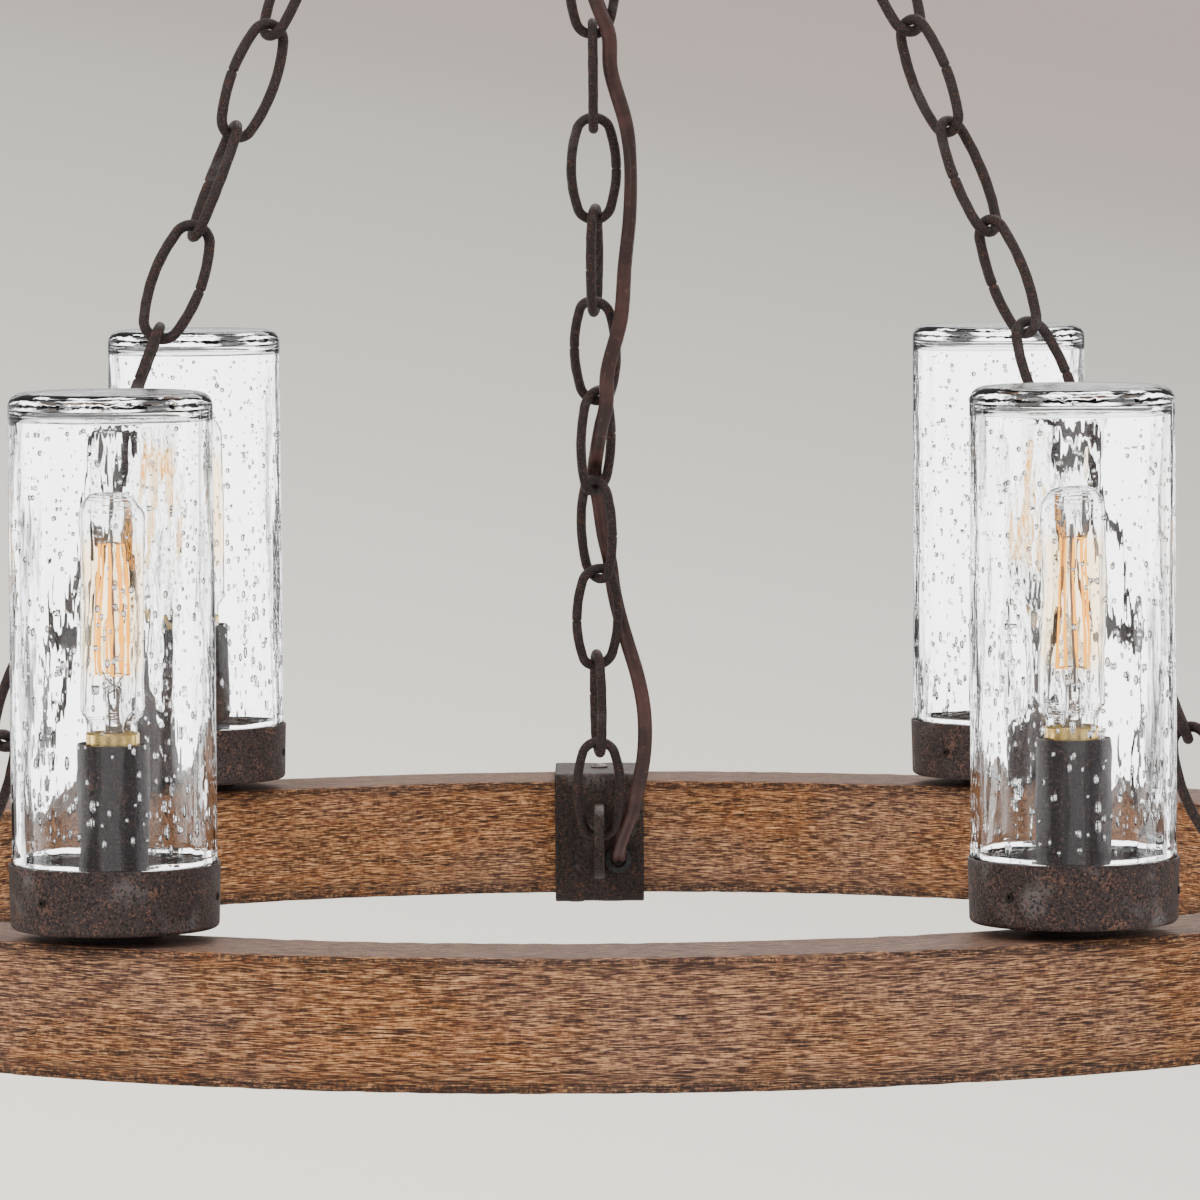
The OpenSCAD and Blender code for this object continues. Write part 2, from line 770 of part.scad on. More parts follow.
// A glass stem, flared out to the neck of the bulb, carries a centre post; the filament is
// strung up and down round it on six thin arms.
module filament(i) {
  cage_r = 7;
  low = base_top + 28;
  high = base_top + 92;
  flare_r = base_d / 2 - 1.1 - bulb_wall - 0.1;
  color("#e0902c")
    at_lamp(i) {
      translate([0, 0, base_top - 5])
        rotate_extrude($fn = 48)
          polygon([[0, 0], [flare_r, 0], [flare_r, 1], [5, 3], [4, 8], [2.6, 27], [0, 27]]);
      cylinder_between([0, 0, base_top + 20], [0, 0, high + 6], 0.7);
      for (k = [0:strands - 1]) {
        a = 360 * k / strands;
        b = 360 * (k + 1) / strands;
        z = k % 2 == 0 ? high : low;
        p = [cage_r * cos(a), cage_r * sin(a), low];
        q = [cage_r * cos(a), cage_r * sin(a), high];
        cylinder_between(p - [0, 0, 0.6], q + [0, 0, 0.6], 0.4);
        cylinder_between([0, 0, z], [q[0], q[1], z], 0.22);
        if (k < strands - 1)
          cylinder_between([p[0], p[1], z], [cage_r * cos(b), cage_r * sin(b), z], 0.3);
      }
    }
}

// A thin round rod from one point to another.
module cylinder_between(p, q, r) {
  v = q - p;
  translate(p)
    rotate([0, acos(v[2] / norm(v)), atan2(v[1], v[0])])
      cylinder(r = r, h = norm(v), $fn = 16);
}

// ---- Cord ----------------------------------------------------------------------------------

// Cross-section of the twin lead: two round leads joined side by side, with a groove between.
function lead_ring(p, t, turn) =
  let (w0 = [cos(turn), sin(turn), 0], w1 = w0 - t * (w0 * t), w = w1 / norm(w1), n = cross(t, w))
  [for (k = [0:11])
    let (c = cos(30 * k), s = sin(30 * k), dip = k % 6 == 3 ? 0.72 : 1)
    p + w * (cord_w / 2 * sign(c) * pow(abs(c), 0.8)) + n * (cord_t / 2 * s * dip)];

// The whole route from the ceiling box to the rim, and the ring of points at each of its rows.
function on_leg(p) =
  let (u = up_leg(90), v = [1, 0, 0], q = lug_at(90) + u * p[0] + v * p[1] - cross(u, v) * p[2])
  [q[0], q[1], q[2], p[3]];
cord_line = concat(canopy_route, link_route, ring_route, [for (p = leg_route) on_leg(p)],
  [for (y = rim_route) [cord_hole_x, back_face_y + y, rim_top - cord_hole_drop, 0]]);
cord_points = [for (p = cord_line) [p[0], p[1], p[2]]];
cord_end = len(cord_line) - 1;
cord_tangents = [for (i = [0:cord_end])
  let (v = cord_points[min(i + 1, cord_end)] - cord_points[max(i - 1, 0)]) v / norm(v)];
cord_rings = [for (i = [0:cord_end]) lead_ring(cord_points[i], cord_tangents[i], cord_line[i][3])];
to_link = len(canopy_route);
to_leg = to_link + len(link_route);

// The stretch of the twin lead from one row of its route to another.
module twin_lead(first, last) {
  points = [for (i = [first:last]) for (p = cord_rings[i]) p];
  n = last - first + 1;
  sides = [for (i = [0:n - 2]) for (k = [0:11])
    let (a = 12 * i + k, b = 12 * i + (k + 1) % 12)
    for (f = [[a, b, a + 12], [b, b + 12, a + 12]]) f];
  ends = [[for (k = [11:-1:0]) k], [for (k = [0:11]) 12 * (n - 1) + k]];
  polyhedron(points = points, faces = concat(sides, ends), convexity = 8);
}

module canopy_cord() {
  color("#5a4036")
    twin_lead(0, to_link);
}

module link_cord() {
  color("#5a4036")
    twin_lead(to_link, to_leg);
}

module leg_cord() {
  color("#5a4036")
    twin_lead(to_leg, cord_end);
}

// ---- Assembly ------------------------------------------------------------------------------

crossbar();
canopy();
canopy_loop();
collar_nut();
canopy_bush();
hanging_link();
gathering_ring();
back_leg_chain();
left_leg_chain();
right_leg_chain();
back_strap();
left_strap();
right_strap();
strap_screws();
cord_bush();
wheel_rim();
groove_cover();
rim_wiring();
canopy_cord();
link_cord();
leg_cord();
cup_spacers();
lamp_pipes();
pipe_nuts();
lamp_sockets();
socket_covers();
set_screws();
cup(0);  // cup_1
cup(1);  // cup_2
cup(2);  // cup_3
cup(3);  // cup_4
cup(4);  // cup_5
cup(5);  // cup_6
shade(0);  // shade_1
shade(1);  // shade_2
shade(2);  // shade_3
shade(3);  // shade_4
shade(4);  // shade_5
shade(5);  // shade_6
bulb(0);  // bulb_1
bulb(1);  // bulb_2
bulb(2);  // bulb_3
bulb(3);  // bulb_4
bulb(4);  // bulb_5
bulb(5);  // bulb_6
bulb_base(0);  // bulb_base_1
bulb_base(1);  // bulb_base_2
bulb_base(2);  // bulb_base_3
bulb_base(3);  // bulb_base_4
bulb_base(4);  // bulb_base_5
bulb_base(5);  // bulb_base_6
filament(0);  // filament_1
filament(1);  // filament_2
filament(2);  // filament_3
filament(3);  // filament_4
filament(4);  // filament_5
filament(5);  // filament_6
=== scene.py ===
"""A wagon wheel chandelier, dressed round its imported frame. Lengths are in metres."""
import math

import bpy
import numpy as np
from mathutils import Matrix, Vector


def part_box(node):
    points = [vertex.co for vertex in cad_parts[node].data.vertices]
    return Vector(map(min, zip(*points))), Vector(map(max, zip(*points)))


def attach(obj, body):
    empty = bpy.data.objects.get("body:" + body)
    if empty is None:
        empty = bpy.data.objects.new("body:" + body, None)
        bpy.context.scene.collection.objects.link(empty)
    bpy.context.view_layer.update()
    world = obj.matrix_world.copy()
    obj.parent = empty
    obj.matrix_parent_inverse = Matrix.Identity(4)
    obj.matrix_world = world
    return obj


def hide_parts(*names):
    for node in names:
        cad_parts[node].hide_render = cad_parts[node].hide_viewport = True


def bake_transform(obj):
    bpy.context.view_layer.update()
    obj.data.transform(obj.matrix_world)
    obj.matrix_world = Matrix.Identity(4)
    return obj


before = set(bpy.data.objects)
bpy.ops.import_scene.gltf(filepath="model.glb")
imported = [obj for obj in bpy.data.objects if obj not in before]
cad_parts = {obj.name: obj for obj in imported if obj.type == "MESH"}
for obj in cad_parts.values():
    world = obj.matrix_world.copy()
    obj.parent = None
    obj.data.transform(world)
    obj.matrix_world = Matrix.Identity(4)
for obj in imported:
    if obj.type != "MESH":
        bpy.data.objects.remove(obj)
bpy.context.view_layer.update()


# The viewpoint. The wheel is seen from the front and from a little above its rim, through a long
# lens that stands some four and a half metres away, so the hoop shows as a slim oval.
eye, look_down, look_left, lean = (0.0161, -4.5401, -0.5808), 0.06898, 0.00299, 0.006742
camera = bpy.data.objects.new("camera", bpy.data.cameras.new("camera"))
camera.data.lens, camera.data.sensor_width = 255, 36
camera.data.clip_start, camera.data.clip_end = 0.1, 200
camera.matrix_world = (
    Matrix.Translation(eye)
    @ Matrix.Rotation(look_left, 4, "Z")
    @ Matrix.Rotation(math.pi / 2 - look_down, 4, "X")
    @ Matrix.Rotation(-lean, 4, "Z")
)
bpy.context.scene.collection.objects.link(camera)
bpy.context.scene.camera = camera


# The cord: a flat twin lead with a reddish brown rubber sheath. It leaves the canopy through a
# bush, is woven down the back chain, and goes through the strap into the wheel.
cord_width, cord_thick, cord_round, cord_steps = 0.0084, 0.0042, 28, 6
rim_low, rim_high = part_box("wheel_rim")
rim_top, rim_bottom = rim_high.z, rim_low.z
rim_outer, rim_inner = 0.502, 0.435
rim_middle = (rim_outer + rim_inner) / 2
lug_out, lug_height = 0.400, rim_top - 0.033
ring_height, ring_r = -0.148, 0.030
ring_eye = np.array([0, 0, ring_height - ring_r])
from_ceiling = [[14, 31, -4], [14, 31, -18], [14, 31, -34], [14, 29, -54], [14, 24, -74],
                [14, 20, -94], [13, 17, -112], [12, 15, -130], [11, 15, -150]]
# Rows down the chain: up the leg, to its right, out towards the wheel's middle, and the twist.
down_the_chain = [
    [974, 11, -21, 0], [956, 11, -17, 0], [936, 11, -13, 0], [912, 11, -10, 0], [886, 11, -8, 0],
    [858, 12, -6, 0], [830, 15, -2, 0], [800, 19, 1, 0], [770, 20.5, 3, 0], [740, 18, 4, 0],
    [715, 13, 5, 0], [690, 9, 6, 0], [668, 4, 4, 0], [652, -1.5, -2.5, 0], [634, -8.5, -6, 0],
    [612, -8, -4, 0], [590, -9, -5, 0], [568, -7, -6, 0], [550, -2, -2, 0], [536, 3, 3, 0],
    [519, 9, 6, 0], [497, 10, 6, 0], [465, 18, 5, 20], [440, 20.5, 4, 40], [409, 20, 5, 30],
    [377, 17, 5, 20], [345, 14.5, 8.5, 0], [314, 7, 10, 0], [292, 6, 9.5, 0], [276, 3, 6, 0],
    [257, 0.5, -1, 0], [238, -1, -9.5, 0], [219, 1.5, -8.5, 0], [200, 4, -6, 0],
    [181, 7.5, -7.5, 0], [162, 9.5, -9.5, 0], [144, 13, -9.5, 0], [127, 17.5, -8, 0],
    [110, 22.5, -4, 0], [92, 26, -1, 0], [74, 27, 0, 0], [56, 26, 0, 0], [38, 23, 0, 0],
    [22, 20, -0.5, 0], [6, 15, -4, 0], [-8, 11.5, -8, 0], [-18, 11, -14, 0]]
strap_inner, bush_edge = 0.430, 0.0188
strap_face = math.sqrt(strap_inner**2 - bush_edge**2)


def unit(v):
    """A vector one long."""
    return v / np.linalg.norm(v)


back_lug = np.array([0, lug_out, lug_height])
up_back, across_back = unit(ring_eye - back_lug), np.array([1.0, 0, 0])
cord_rows = [[x / 1000, y / 1000, z / 1000, 0] for x, y, z in from_ceiling]
for up, right, near, twist in down_the_chain:
    at = back_lug + (up_back * up + across_back * right
                     - np.cross(up_back, across_back) * near) / 1000
    cord_rows.append([*at, twist])
for behind in (0.002, 0.012, 0.022, 0.031):
    cord_rows.append([0.011, strap_face + behind, rim_top - 0.046, 0])
cord_rows = np.array(cord_rows)


def angles(count):
    """So many directions evenly round a circle, in radians."""
    return np.linspace(0, 2 * math.pi, count, endpoint=False)


def eased(rows, steps):
    """Points of one smooth line through the rows, with so many steps between each two."""
    q = np.vstack([2 * rows[0] - rows[1], rows, 2 * rows[-1] - rows[-2]])
    out = []
    for i in range(1, len(q) - 2):
        a, b, c, d = q[i - 1 : i + 3]
        for u in np.arange(steps) / steps:
            out.append(b + (c - a) * u / 2 + (2 * a - 5 * b + 4 * c - d) * u * u / 2
                       + (3 * b - a - 3 * c + d) * u**3 / 2)
    return np.array([*out, rows[-1]])


def mesh_piece(name, points, faces):
    """A new object from points and faces, in the room's own frame."""
    mesh = bpy.data.meshes.new(name)
    mesh.from_pydata([tuple(p) for p in points], [], [tuple(int(k) for k in f) for f in faces])
    mesh.polygons.foreach_set("use_smooth", [True] * len(mesh.polygons))
    mesh.update()
    piece = bpy.data.objects.new(name, mesh)
    bpy.context.scene.collection.objects.link(piece)
    return piece


def skin_faces(rings, around, closed, first=0):
    """Faces between rings of points in a row. An open row gets its two end faces."""
    faces = []
    for i in range(rings if closed else rings - 1):
        a, b = first + i * around, first + (i + 1) % rings * around
        for k in range(around):
            m = (k + 1) % around
            faces.append((a + k, a + m, b + m, b + k))
    if not closed:
        faces.append([first + k for k in range(around)][::-1])
        faces.append([first + (rings - 1) * around + k for k in range(around)])
    return faces


cord_line = eased(cord_rows, cord_steps)
heading = np.gradient(cord_line[:, :3], axis=0)
heading /= np.linalg.norm(heading, axis=1)[:, None]
cord_section = []
for k in range(cord_round):
    c, s = math.cos(2 * math.pi * k / cord_round), math.sin(2 * math.pi * k / cord_round)
    groove = 1 - 0.62 * math.exp(-((c / 0.17) ** 2))
    cord_section.append((math.copysign(abs(c) ** 0.8, c) * cord_width / 2,
                         s * groove * cord_thick / 2))
cord_rings = []
for row, t in zip(cord_line, heading):
    turn = math.radians(row[3])
    wide = np.array([math.cos(turn), math.sin(turn), 0])
    wide = unit(wide - t * (wide @ t))
    thin = np.cross(t, wide)
    cord_rings.append([row[:3] + wide * a + thin * b for a, b in cord_section])


def twin_lead(name, first, last):
    """The stretch of the lead between two rows of its route, and the points it follows."""
    stretch = slice(first * cord_steps, last * cord_steps + 1)
    rings = cord_rings[stretch]
    piece = mesh_piece(name, [p for ring in rings for p in ring],
                       skin_faces(len(rings), cord_round, False))
    return piece, cord_line[stretch, :3]


def node(tree, kind, settings=None, **values):
    """A shader node. Values are sockets, numbers or colours; a space in a name is written _."""
    n = tree.nodes.new("ShaderNode" + kind)
    for key, value in (settings or {}).items():
        setattr(n, key, value)
    for key, value in values.items():
        feed(tree, n.inputs[key.replace("_", " ")], value)
    return n


def feed(tree, socket, value):
    """Links a socket to an input, or sets the input to a plain value."""
    if isinstance(value, bpy.types.NodeSocket):
        tree.links.new(value, socket)
    else:
        socket.default_value = value


def calc(tree, operation, *values):
    """The result of a Math node."""
    n = node(tree, "Math", {"operation": operation})
    for socket, value in zip(n.inputs, values):
        feed(tree, socket, value)
    return n.outputs[0]


def times(tree, a, b):
    """The product of two values."""
    return calc(tree, "MULTIPLY", a, b)


def scaled(tree, value, by, plus):
    """A value times one thing plus another."""
    return calc(tree, "MULTIPLY_ADD", value, by, plus)


def step(tree, value, low, high):
    """A soft step from 0 to 1 as the value goes from low to high."""
    n = node(tree, "MapRange", {"interpolation_type": "SMOOTHSTEP"},
             Value=value, From_Min=low, From_Max=high)
    return n.outputs[0]


def tint(tree, mask, a, b, how="MIX"):
    """Colour a, with colour b laid over it by the mask."""
    n = node(tree, "Mix", {"data_type": "RGBA", "blend_type": how})
    for index, value in ((0, mask), (6, a), (7, b)):
        feed(tree, n.inputs[index], value)
    return n.outputs[2]


def cloud(tree, where, scale, detail=2.0, rough=0.5, **more):
    """Plain noise from 0 to 1 at so many waves to the metre."""
    n = node(tree, "TexNoise", more.pop("settings", None), Vector=where, Scale=scale,
             Detail=detail, Roughness=rough, **more)
    return n.outputs[0]


def new_effect(name, inputs, outputs):
    """A shared shader effect: its node tree, its inputs and its outputs."""
    group = bpy.data.node_groups.new(name, "ShaderNodeTree")
    for label, kind, value in inputs:
        socket = group.interface.new_socket(label, in_out="INPUT", socket_type="NodeSocket" + kind)
        socket.default_value = value
    for label, kind in outputs:
        group.interface.new_socket(label, in_out="OUTPUT", socket_type="NodeSocket" + kind)
    given, made = group.nodes.new("NodeGroupInput"), group.nodes.new("NodeGroupOutput")
    return group, given.outputs, made.inputs


def effect(tree, group, **values):
    """The outputs of a shared effect, placed in a material with its own values."""
    n = tree.nodes.new("ShaderNodeGroup")
    n.node_tree = group
    for key, value in values.items():
        feed(tree, n.inputs[key.replace("_", " ")], value)
    return n.outputs


def new_finish(name, **plain):
    """A new material: itself, its node tree and its shader with plain values."""
    material = bpy.data.materials.new(name)
    material.use_nodes = True
    shader = material.node_tree.nodes["Principled BSDF"]
    for key, value in plain.items():
        shader.inputs[key.replace("_", " ")].default_value = value
    return material, material.node_tree, shader


def on_piece(tree):
    """Places measured on the piece itself."""
    return node(tree, "TexCoord").outputs["Object"]


def drawn_out(tree, place, x, y, z):
    """The same places, scaled differently each way."""
    return node(tree, "Mapping", Vector=place, Scale=(x, y, z)).outputs[0]


def paint(tree, shader, colour, roughness):
    """Gives a shader its colour and its roughness."""
    feed(tree, shader.inputs["Base Color"], colour)
    feed(tree, shader.inputs["Roughness"], roughness)


def raise_skin(tree, shader, height, depth, strength=1.0):
    """Lifts the surface by a height, so many metres deep."""
    n = node(tree, "Bump", Height=height, Distance=depth, Strength=strength)
    tree.links.new(n.outputs[0], shader.inputs["Normal"])


sheath, tree, shader = new_finish("cord_sheath", IOR=1.48)
place = on_piece(tree)
scuff = cloud(tree, place, 260, 5, 0.6)
bloom = step(tree, cloud(tree, place, 45, 3), 0.42, 0.68)
colour = tint(tree, bloom, (0.036, 0.015, 0.013, 1), (0.085, 0.034, 0.029, 1))
colour = tint(tree, step(tree, scuff, 0.58, 0.75), colour, (0.13, 0.066, 0.050, 1))
paint(tree, shader, colour, scaled(tree, scuff, 0.35, 0.24))
raise_skin(tree, shader, cloud(tree, place, 900, 3), 0.0002, 0.5)

canopy_lead, path = twin_lead("canopy_lead", 0, 5)
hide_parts("canopy_cord")
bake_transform(canopy_lead)
link_lead, path = twin_lead("link_lead", 5, 8)
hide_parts("link_cord")
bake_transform(link_lead)
chain_lead, path = twin_lead("chain_lead", 8, len(cord_rows) - 1)
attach(chain_lead, "wheel")
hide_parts("leg_cord")
for lead in (canopy_lead, link_lead, chain_lead):
    lead.data.materials.append(sheath)


# Chain legs: oval links bent from 5.8 mm iron wire, each with its butt seam on one side, darkened
# and speckled with rust. Each leg has 17 links, each turned about a quarter on the one below.
wire, link_inside, link_across, links_in_leg = 0.0058, 0.0572, 0.031, 17
wire_round, link_dent, play, ring_wire = 14, 0.00022, 0.0002, 0.008
lug_hole, lug_half, seam_share = 0.008, 0.003, 0.80
link_height, link_half = (link_inside + wire) / 2, (link_across - wire) / 2
# A link's sides bow out a little. The centre of a side's arc, the link's middle and the centre
# of its end bend make a right triangle, with its sides as 24 to 7 to 25.
bend_r = (7 * link_half - link_height) / 6
bend_z = link_height - bend_r
bow_off, bow_r, bow_a = bend_z * 24 / 7, bend_r + bend_z * 25 / 7, math.atan(7 / 24)


def link_line():
    """One link's own line, once round, from the middle of its right side."""
    def side(a):
        return np.array([-bow_off + bow_r * math.cos(a), bow_r * math.sin(a)])

    def bend(a):
        return np.array([bend_r * math.cos(a), bend_z + bend_r * math.sin(a)])

    half = [side(a) for a in np.linspace(0, bow_a, 13)[:-1]]
    half += [bend(a) for a in np.linspace(bow_a, math.pi - bow_a, 22)[:-1]]
    half += [side(a) * (-1, 1) for a in np.linspace(bow_a, 0, 13)[:-1]]
    seam = [[0.0, -0.0009], [0.0, -0.0004], [0.0, 0.0004], [0.0, 0.0009]]
    half = np.array(half)
    half = np.vstack([half[:1] + seam, half[1:]])
    return np.vstack([half, -half]), len(half)


def ripple(points, size, seed):
    """Smooth uneven values from about -1 to 1 over points, with waves of one size."""
    rng = np.random.default_rng(seed)
    total = np.zeros(len(points))
    for _ in range(9):
        way = unit(rng.normal(size=3)) * 2 * math.pi / (size * rng.uniform(0.7, 1.6))
        total += np.sin(points @ way + rng.uniform(0, 2 * math.pi))
    return total / 4


def link_skin(middle, across, deep, up, seed):
    """The points of one link's wire: a little uneven, with its seam on one side."""
    line, half = link_line()
    ahead = np.roll(line, -1, 0) - np.roll(line, 1, 0)
    ahead /= np.linalg.norm(ahead, axis=1)[:, None]
    ahead[:4] = (0, 1)
    ahead[half : half + 4] = (0, -1)
    around = angles(wire_round)
    skin = []
    for k, (p, t) in enumerate(zip(line, ahead)):
        r = wire / 2 * (seam_share if k in (1, 2) else 1.0)
        out = np.array([t[1], -t[0]])
        for a in around:
            flat = p + out * r * math.cos(a)
            skin.append(middle + across * flat[0] + up * flat[1] + deep * r * math.sin(a))
    skin = np.array(skin)
    centre = np.repeat(middle + line[:, :1] * across + line[:, 1:] * up, wire_round, 0)
    inward = centre - skin
    inward /= np.linalg.norm(inward, axis=1)[:, None]
    dents = np.clip(0.5 + 0.5 * ripple(skin, 0.009, seed), 0, 1)
    return skin + inward * dents[:, None] * link_dent, len(line)


def turn_at(table, k):
    """A turn read off a table of links and turns."""
    return float(np.interp(k, [row[0] for row in table], [row[1] for row in table]))


def chain_leg(name, azimuth, turns, seed):
    """All the links of one leg, from its lug up to the gathering ring, as one piece."""
    a = math.radians(azimuth)
    lug = np.array([lug_out * math.cos(a), lug_out * math.sin(a), lug_height])
    tilt = math.atan2(lug[0], ring_height - lug_height)
    hook = np.array([ring_r * math.sin(tilt), 0, ring_height - ring_r * math.cos(tilt)])
    up = unit(hook - lug)
    across = -unit(np.cross(up, [math.cos(a), math.sin(a), 0]))
    deep = np.cross(up, across)
    # The first link's foot lies in the lug's hole, and the last link's head over the ring.
    lean_in = math.asin(lug_half / bend_r)
    rise = bend_r * (1 - math.cos(lean_in)) + wire / 2 * (1 / math.cos(lean_in) - 1)
    low_seat, high_seat = lug_hole - wire / 2 - rise - play, (ring_wire + wire) / 2 + play
    run = np.linalg.norm(hook - lug) - low_seat + high_seat - 2 * link_height
    pitch = run / (links_in_leg - 1)
    # The last link stands square to the ring.
    square = math.degrees(math.atan2(deep[1], across[1])) - 90 * (links_in_leg - 1)
    table = turns + [[links_in_leg, square - 180 * round((square - 80) / 180)]]
    points, faces = [], []
    for k in range(1, links_in_leg + 1):
        middle = lug + up * (low_seat + link_height + (k - 1) * pitch)
        q = math.radians(90 * (k - 1) + turn_at(table, k))
        side = across * math.cos(q) + deep * math.sin(q)
        skin, rings = link_skin(middle, side, np.cross(up, side), up, seed + k)
        faces += skin_faces(rings, wire_round, True, len(points))
        points += list(skin)
    return mesh_piece(name, points, faces)


iron_skin, given, made = new_effect("rusted iron", [
    ("Iron", "Color", (0.03, 0.02, 0.017, 1)), ("Rust", "Color", (0.14, 0.055, 0.028, 1)),
    ("Bloom", "Color", (0.13, 0.12, 0.115, 1)), ("Waves", "Float", 90.0),
    ("Rust Share", "Float", 0.4), ("Bloom Share", "Float", 0.3)],
    [("Color", "Color"), ("Roughness", "Float"), ("Height", "Float")])
g = iron_skin
place = on_piece(g)
patches = cloud(g, place, given["Waves"], 6, 0.62, Distortion=0.6)
grains = cloud(g, place, times(g, given["Waves"], 7.0), 4, 0.6)
both = scaled(g, grains, 0.45, times(g, patches, 0.55))
edge = calc(g, "SUBTRACT", 0.64, times(g, given["Rust Share"], 0.22))
rusty = step(g, both, edge, calc(g, "ADD", edge, 0.07))
specks = step(g, cloud(g, place, 1200, 2, 0.5), 0.58, 0.67)
# Grey patches at random: partly a bloom on the iron, partly a painted sheen.
bloom_sheen_noise = cloud(g, place, 38, 4, 0.6)
bloom_sheen_from = scaled(g, given["Bloom Share"], -0.4, 0.72)
bloom_and_sheen = step(g, bloom_sheen_noise, bloom_sheen_from, 0.78)
colour = tint(g, times(g, bloom_and_sheen, 0.6), given["Iron"], given["Bloom"])
colour = tint(g, times(g, rusty, 0.8), colour, given["Rust"])
colour = tint(g, times(g, specks, 0.70), colour,
              tint(g, 1.0, given["Rust"], (1.7, 1.5, 1.3, 1), "MULTIPLY"))
colour = tint(g, times(g, step(g, grains, 0.50, 0.38), 0.88), colour, (0.010, 0.007, 0.006, 1))
feed(g, made["Color"], colour)
feed(g, made["Roughness"], scaled(g, both, 0.55, 0.26))
feed(g, made["Height"], scaled(g, rusty, 0.35, scaled(g, specks, 0.25, grains)))


def iron_finish(name, depth=0.0005, metal=0.55, **values):
    """A rusted iron material with its own shades, its grey bloom partly a painted sheen."""
    material, tree, shader = new_finish(name, Metallic=metal)
    skin = effect(tree, iron_skin, **values)
    paint(tree, shader, skin["Color"], skin["Roughness"])
    raise_skin(tree, shader, skin["Height"], depth, 0.8)
    return material


chain_iron = iron_finish("chain_iron", 0.0009, Iron=(0.040, 0.030, 0.030, 1),
                         Rust=(0.145, 0.070, 0.055, 1), Bloom=(0.17, 0.155, 0.16, 1),
                         Waves=190.0, Rust_Share=0.46, Bloom_Share=0.45)
# Each leg's direction, then some links' numbers and turns past the quarter turns, in degrees.
legs = {
    "back": (90, [[1, 0], [3, 20], [4, 45], [5, 47], [6, 70], [8, 90], [12, 90]]),
    "left": (210, [[1, 0], [6, 62], [7, 62], [9, 90], [12, 110]]),
    "right": (330, [[1, 0], [6, 63], [8, 80], [9, 74], [12, 60]]),
}
for seed, (side, (azimuth, turns)) in enumerate(legs.items()):
    leg = chain_leg(side + "_leg_links", azimuth, turns, 100 * seed)
    leg.data.materials.append(chain_iron)
    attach(leg, "wheel")
    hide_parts(side + "_leg_chain")


# The ceiling fitting: a zinc crossbar, a shallow spun canopy held by a collar nut and a loop, and
# one link that joins the loop to the ring where the three legs gather.
low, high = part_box("hanging_link")
skin, rings = link_skin(np.array([0, 0, (low.z + high.z) / 2]), np.array([0, 1.0, 0]),
                        np.array([1.0, 0, 0]), np.array([0, 0, 1.0]), 400)
top_link = mesh_piece("top_link", skin, [f[::-1] for f in skin_faces(rings, wire_round, True)])
top_link.data.materials.append(chain_iron)
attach(top_link, "link")
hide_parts("hanging_link")


def dress(material, *names):
    """Gives frame parts a material in place of their plain one."""
    for name in names:
        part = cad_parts[name]
        part.data.materials.clear()
        part.data.materials.append(material)


dark_iron = iron_finish("dark_iron", Iron=(0.034, 0.023, 0.020, 1), Rust=(0.11, 0.05, 0.031, 1),
                        Bloom=(0.12, 0.11, 0.105, 1), Waves=60.0, Rust_Share=0.38, Bloom_Share=0.5)
dress(chain_iron, "gathering_ring")
dress(dark_iron, "canopy", "canopy_loop", "collar_nut")
zinc, tree, shader = new_finish("zinc_steel", Metallic=1.0)
place = on_piece(tree)
spangle = node(tree, "TexVoronoi", {"feature": "F1"}, Vector=place, Scale=210, Randomness=1.0)
lines = cloud(tree, drawn_out(tree, place, 30, 900, 900), 1.0, 3)
colour = tint(tree, spangle.outputs["Distance"], (0.50, 0.51, 0.52, 1), (0.66, 0.67, 0.66, 1))
paint(tree, shader, colour, scaled(tree, lines, 0.3, 0.25))
raise_skin(tree, shader, lines, 0.0001, 0.4)
dress(zinc, "crossbar", "lamp_pipes", "pipe_nuts")
rubber, tree, shader = new_finish("black_rubber")
place = on_piece(tree)
dust = cloud(tree, place, 400, 4, 0.6)
colour = tint(tree, step(tree, dust, 0.5, 0.75), (0.010, 0.010, 0.010, 1), (0.05, 0.046, 0.043, 1))
paint(tree, shader, colour, scaled(tree, dust, 0.3, 0.42))
raise_skin(tree, shader, dust, 0.0001, 0.5)
dress(rubber, "canopy_bush", "cord_bush")
sleeve, tree, shader = new_finish("wire_sleeve")
place = on_piece(tree)
braid = node(tree, "TexWave", {"wave_type": "BANDS", "bands_direction": "DIAGONAL"}, Vector=place,
             Scale=260, Distortion=1.5).outputs["Fac"]
colour = tint(tree, braid, (0.012, 0.012, 0.013, 1), (0.045, 0.043, 0.040, 1))
paint(tree, shader, colour, scaled(tree, braid, -0.2, 0.65))
raise_skin(tree, shader, braid, 0.0002, 0.5)
dress(sleeve, "rim_wiring")


# The wheel rim: a hoop of steamed oak, 67 by 66 mm, with worn corners darkened by wear and painted
# shade, raised grain round the hoop, and a wiring groove with its cover strip on the underside.
groove_half, groove_deep, cover_half, cover_thick, corner = 0.012, 0.026, 0.016, 0.003, 0.0025
stations, spacing = 720, 0.0021


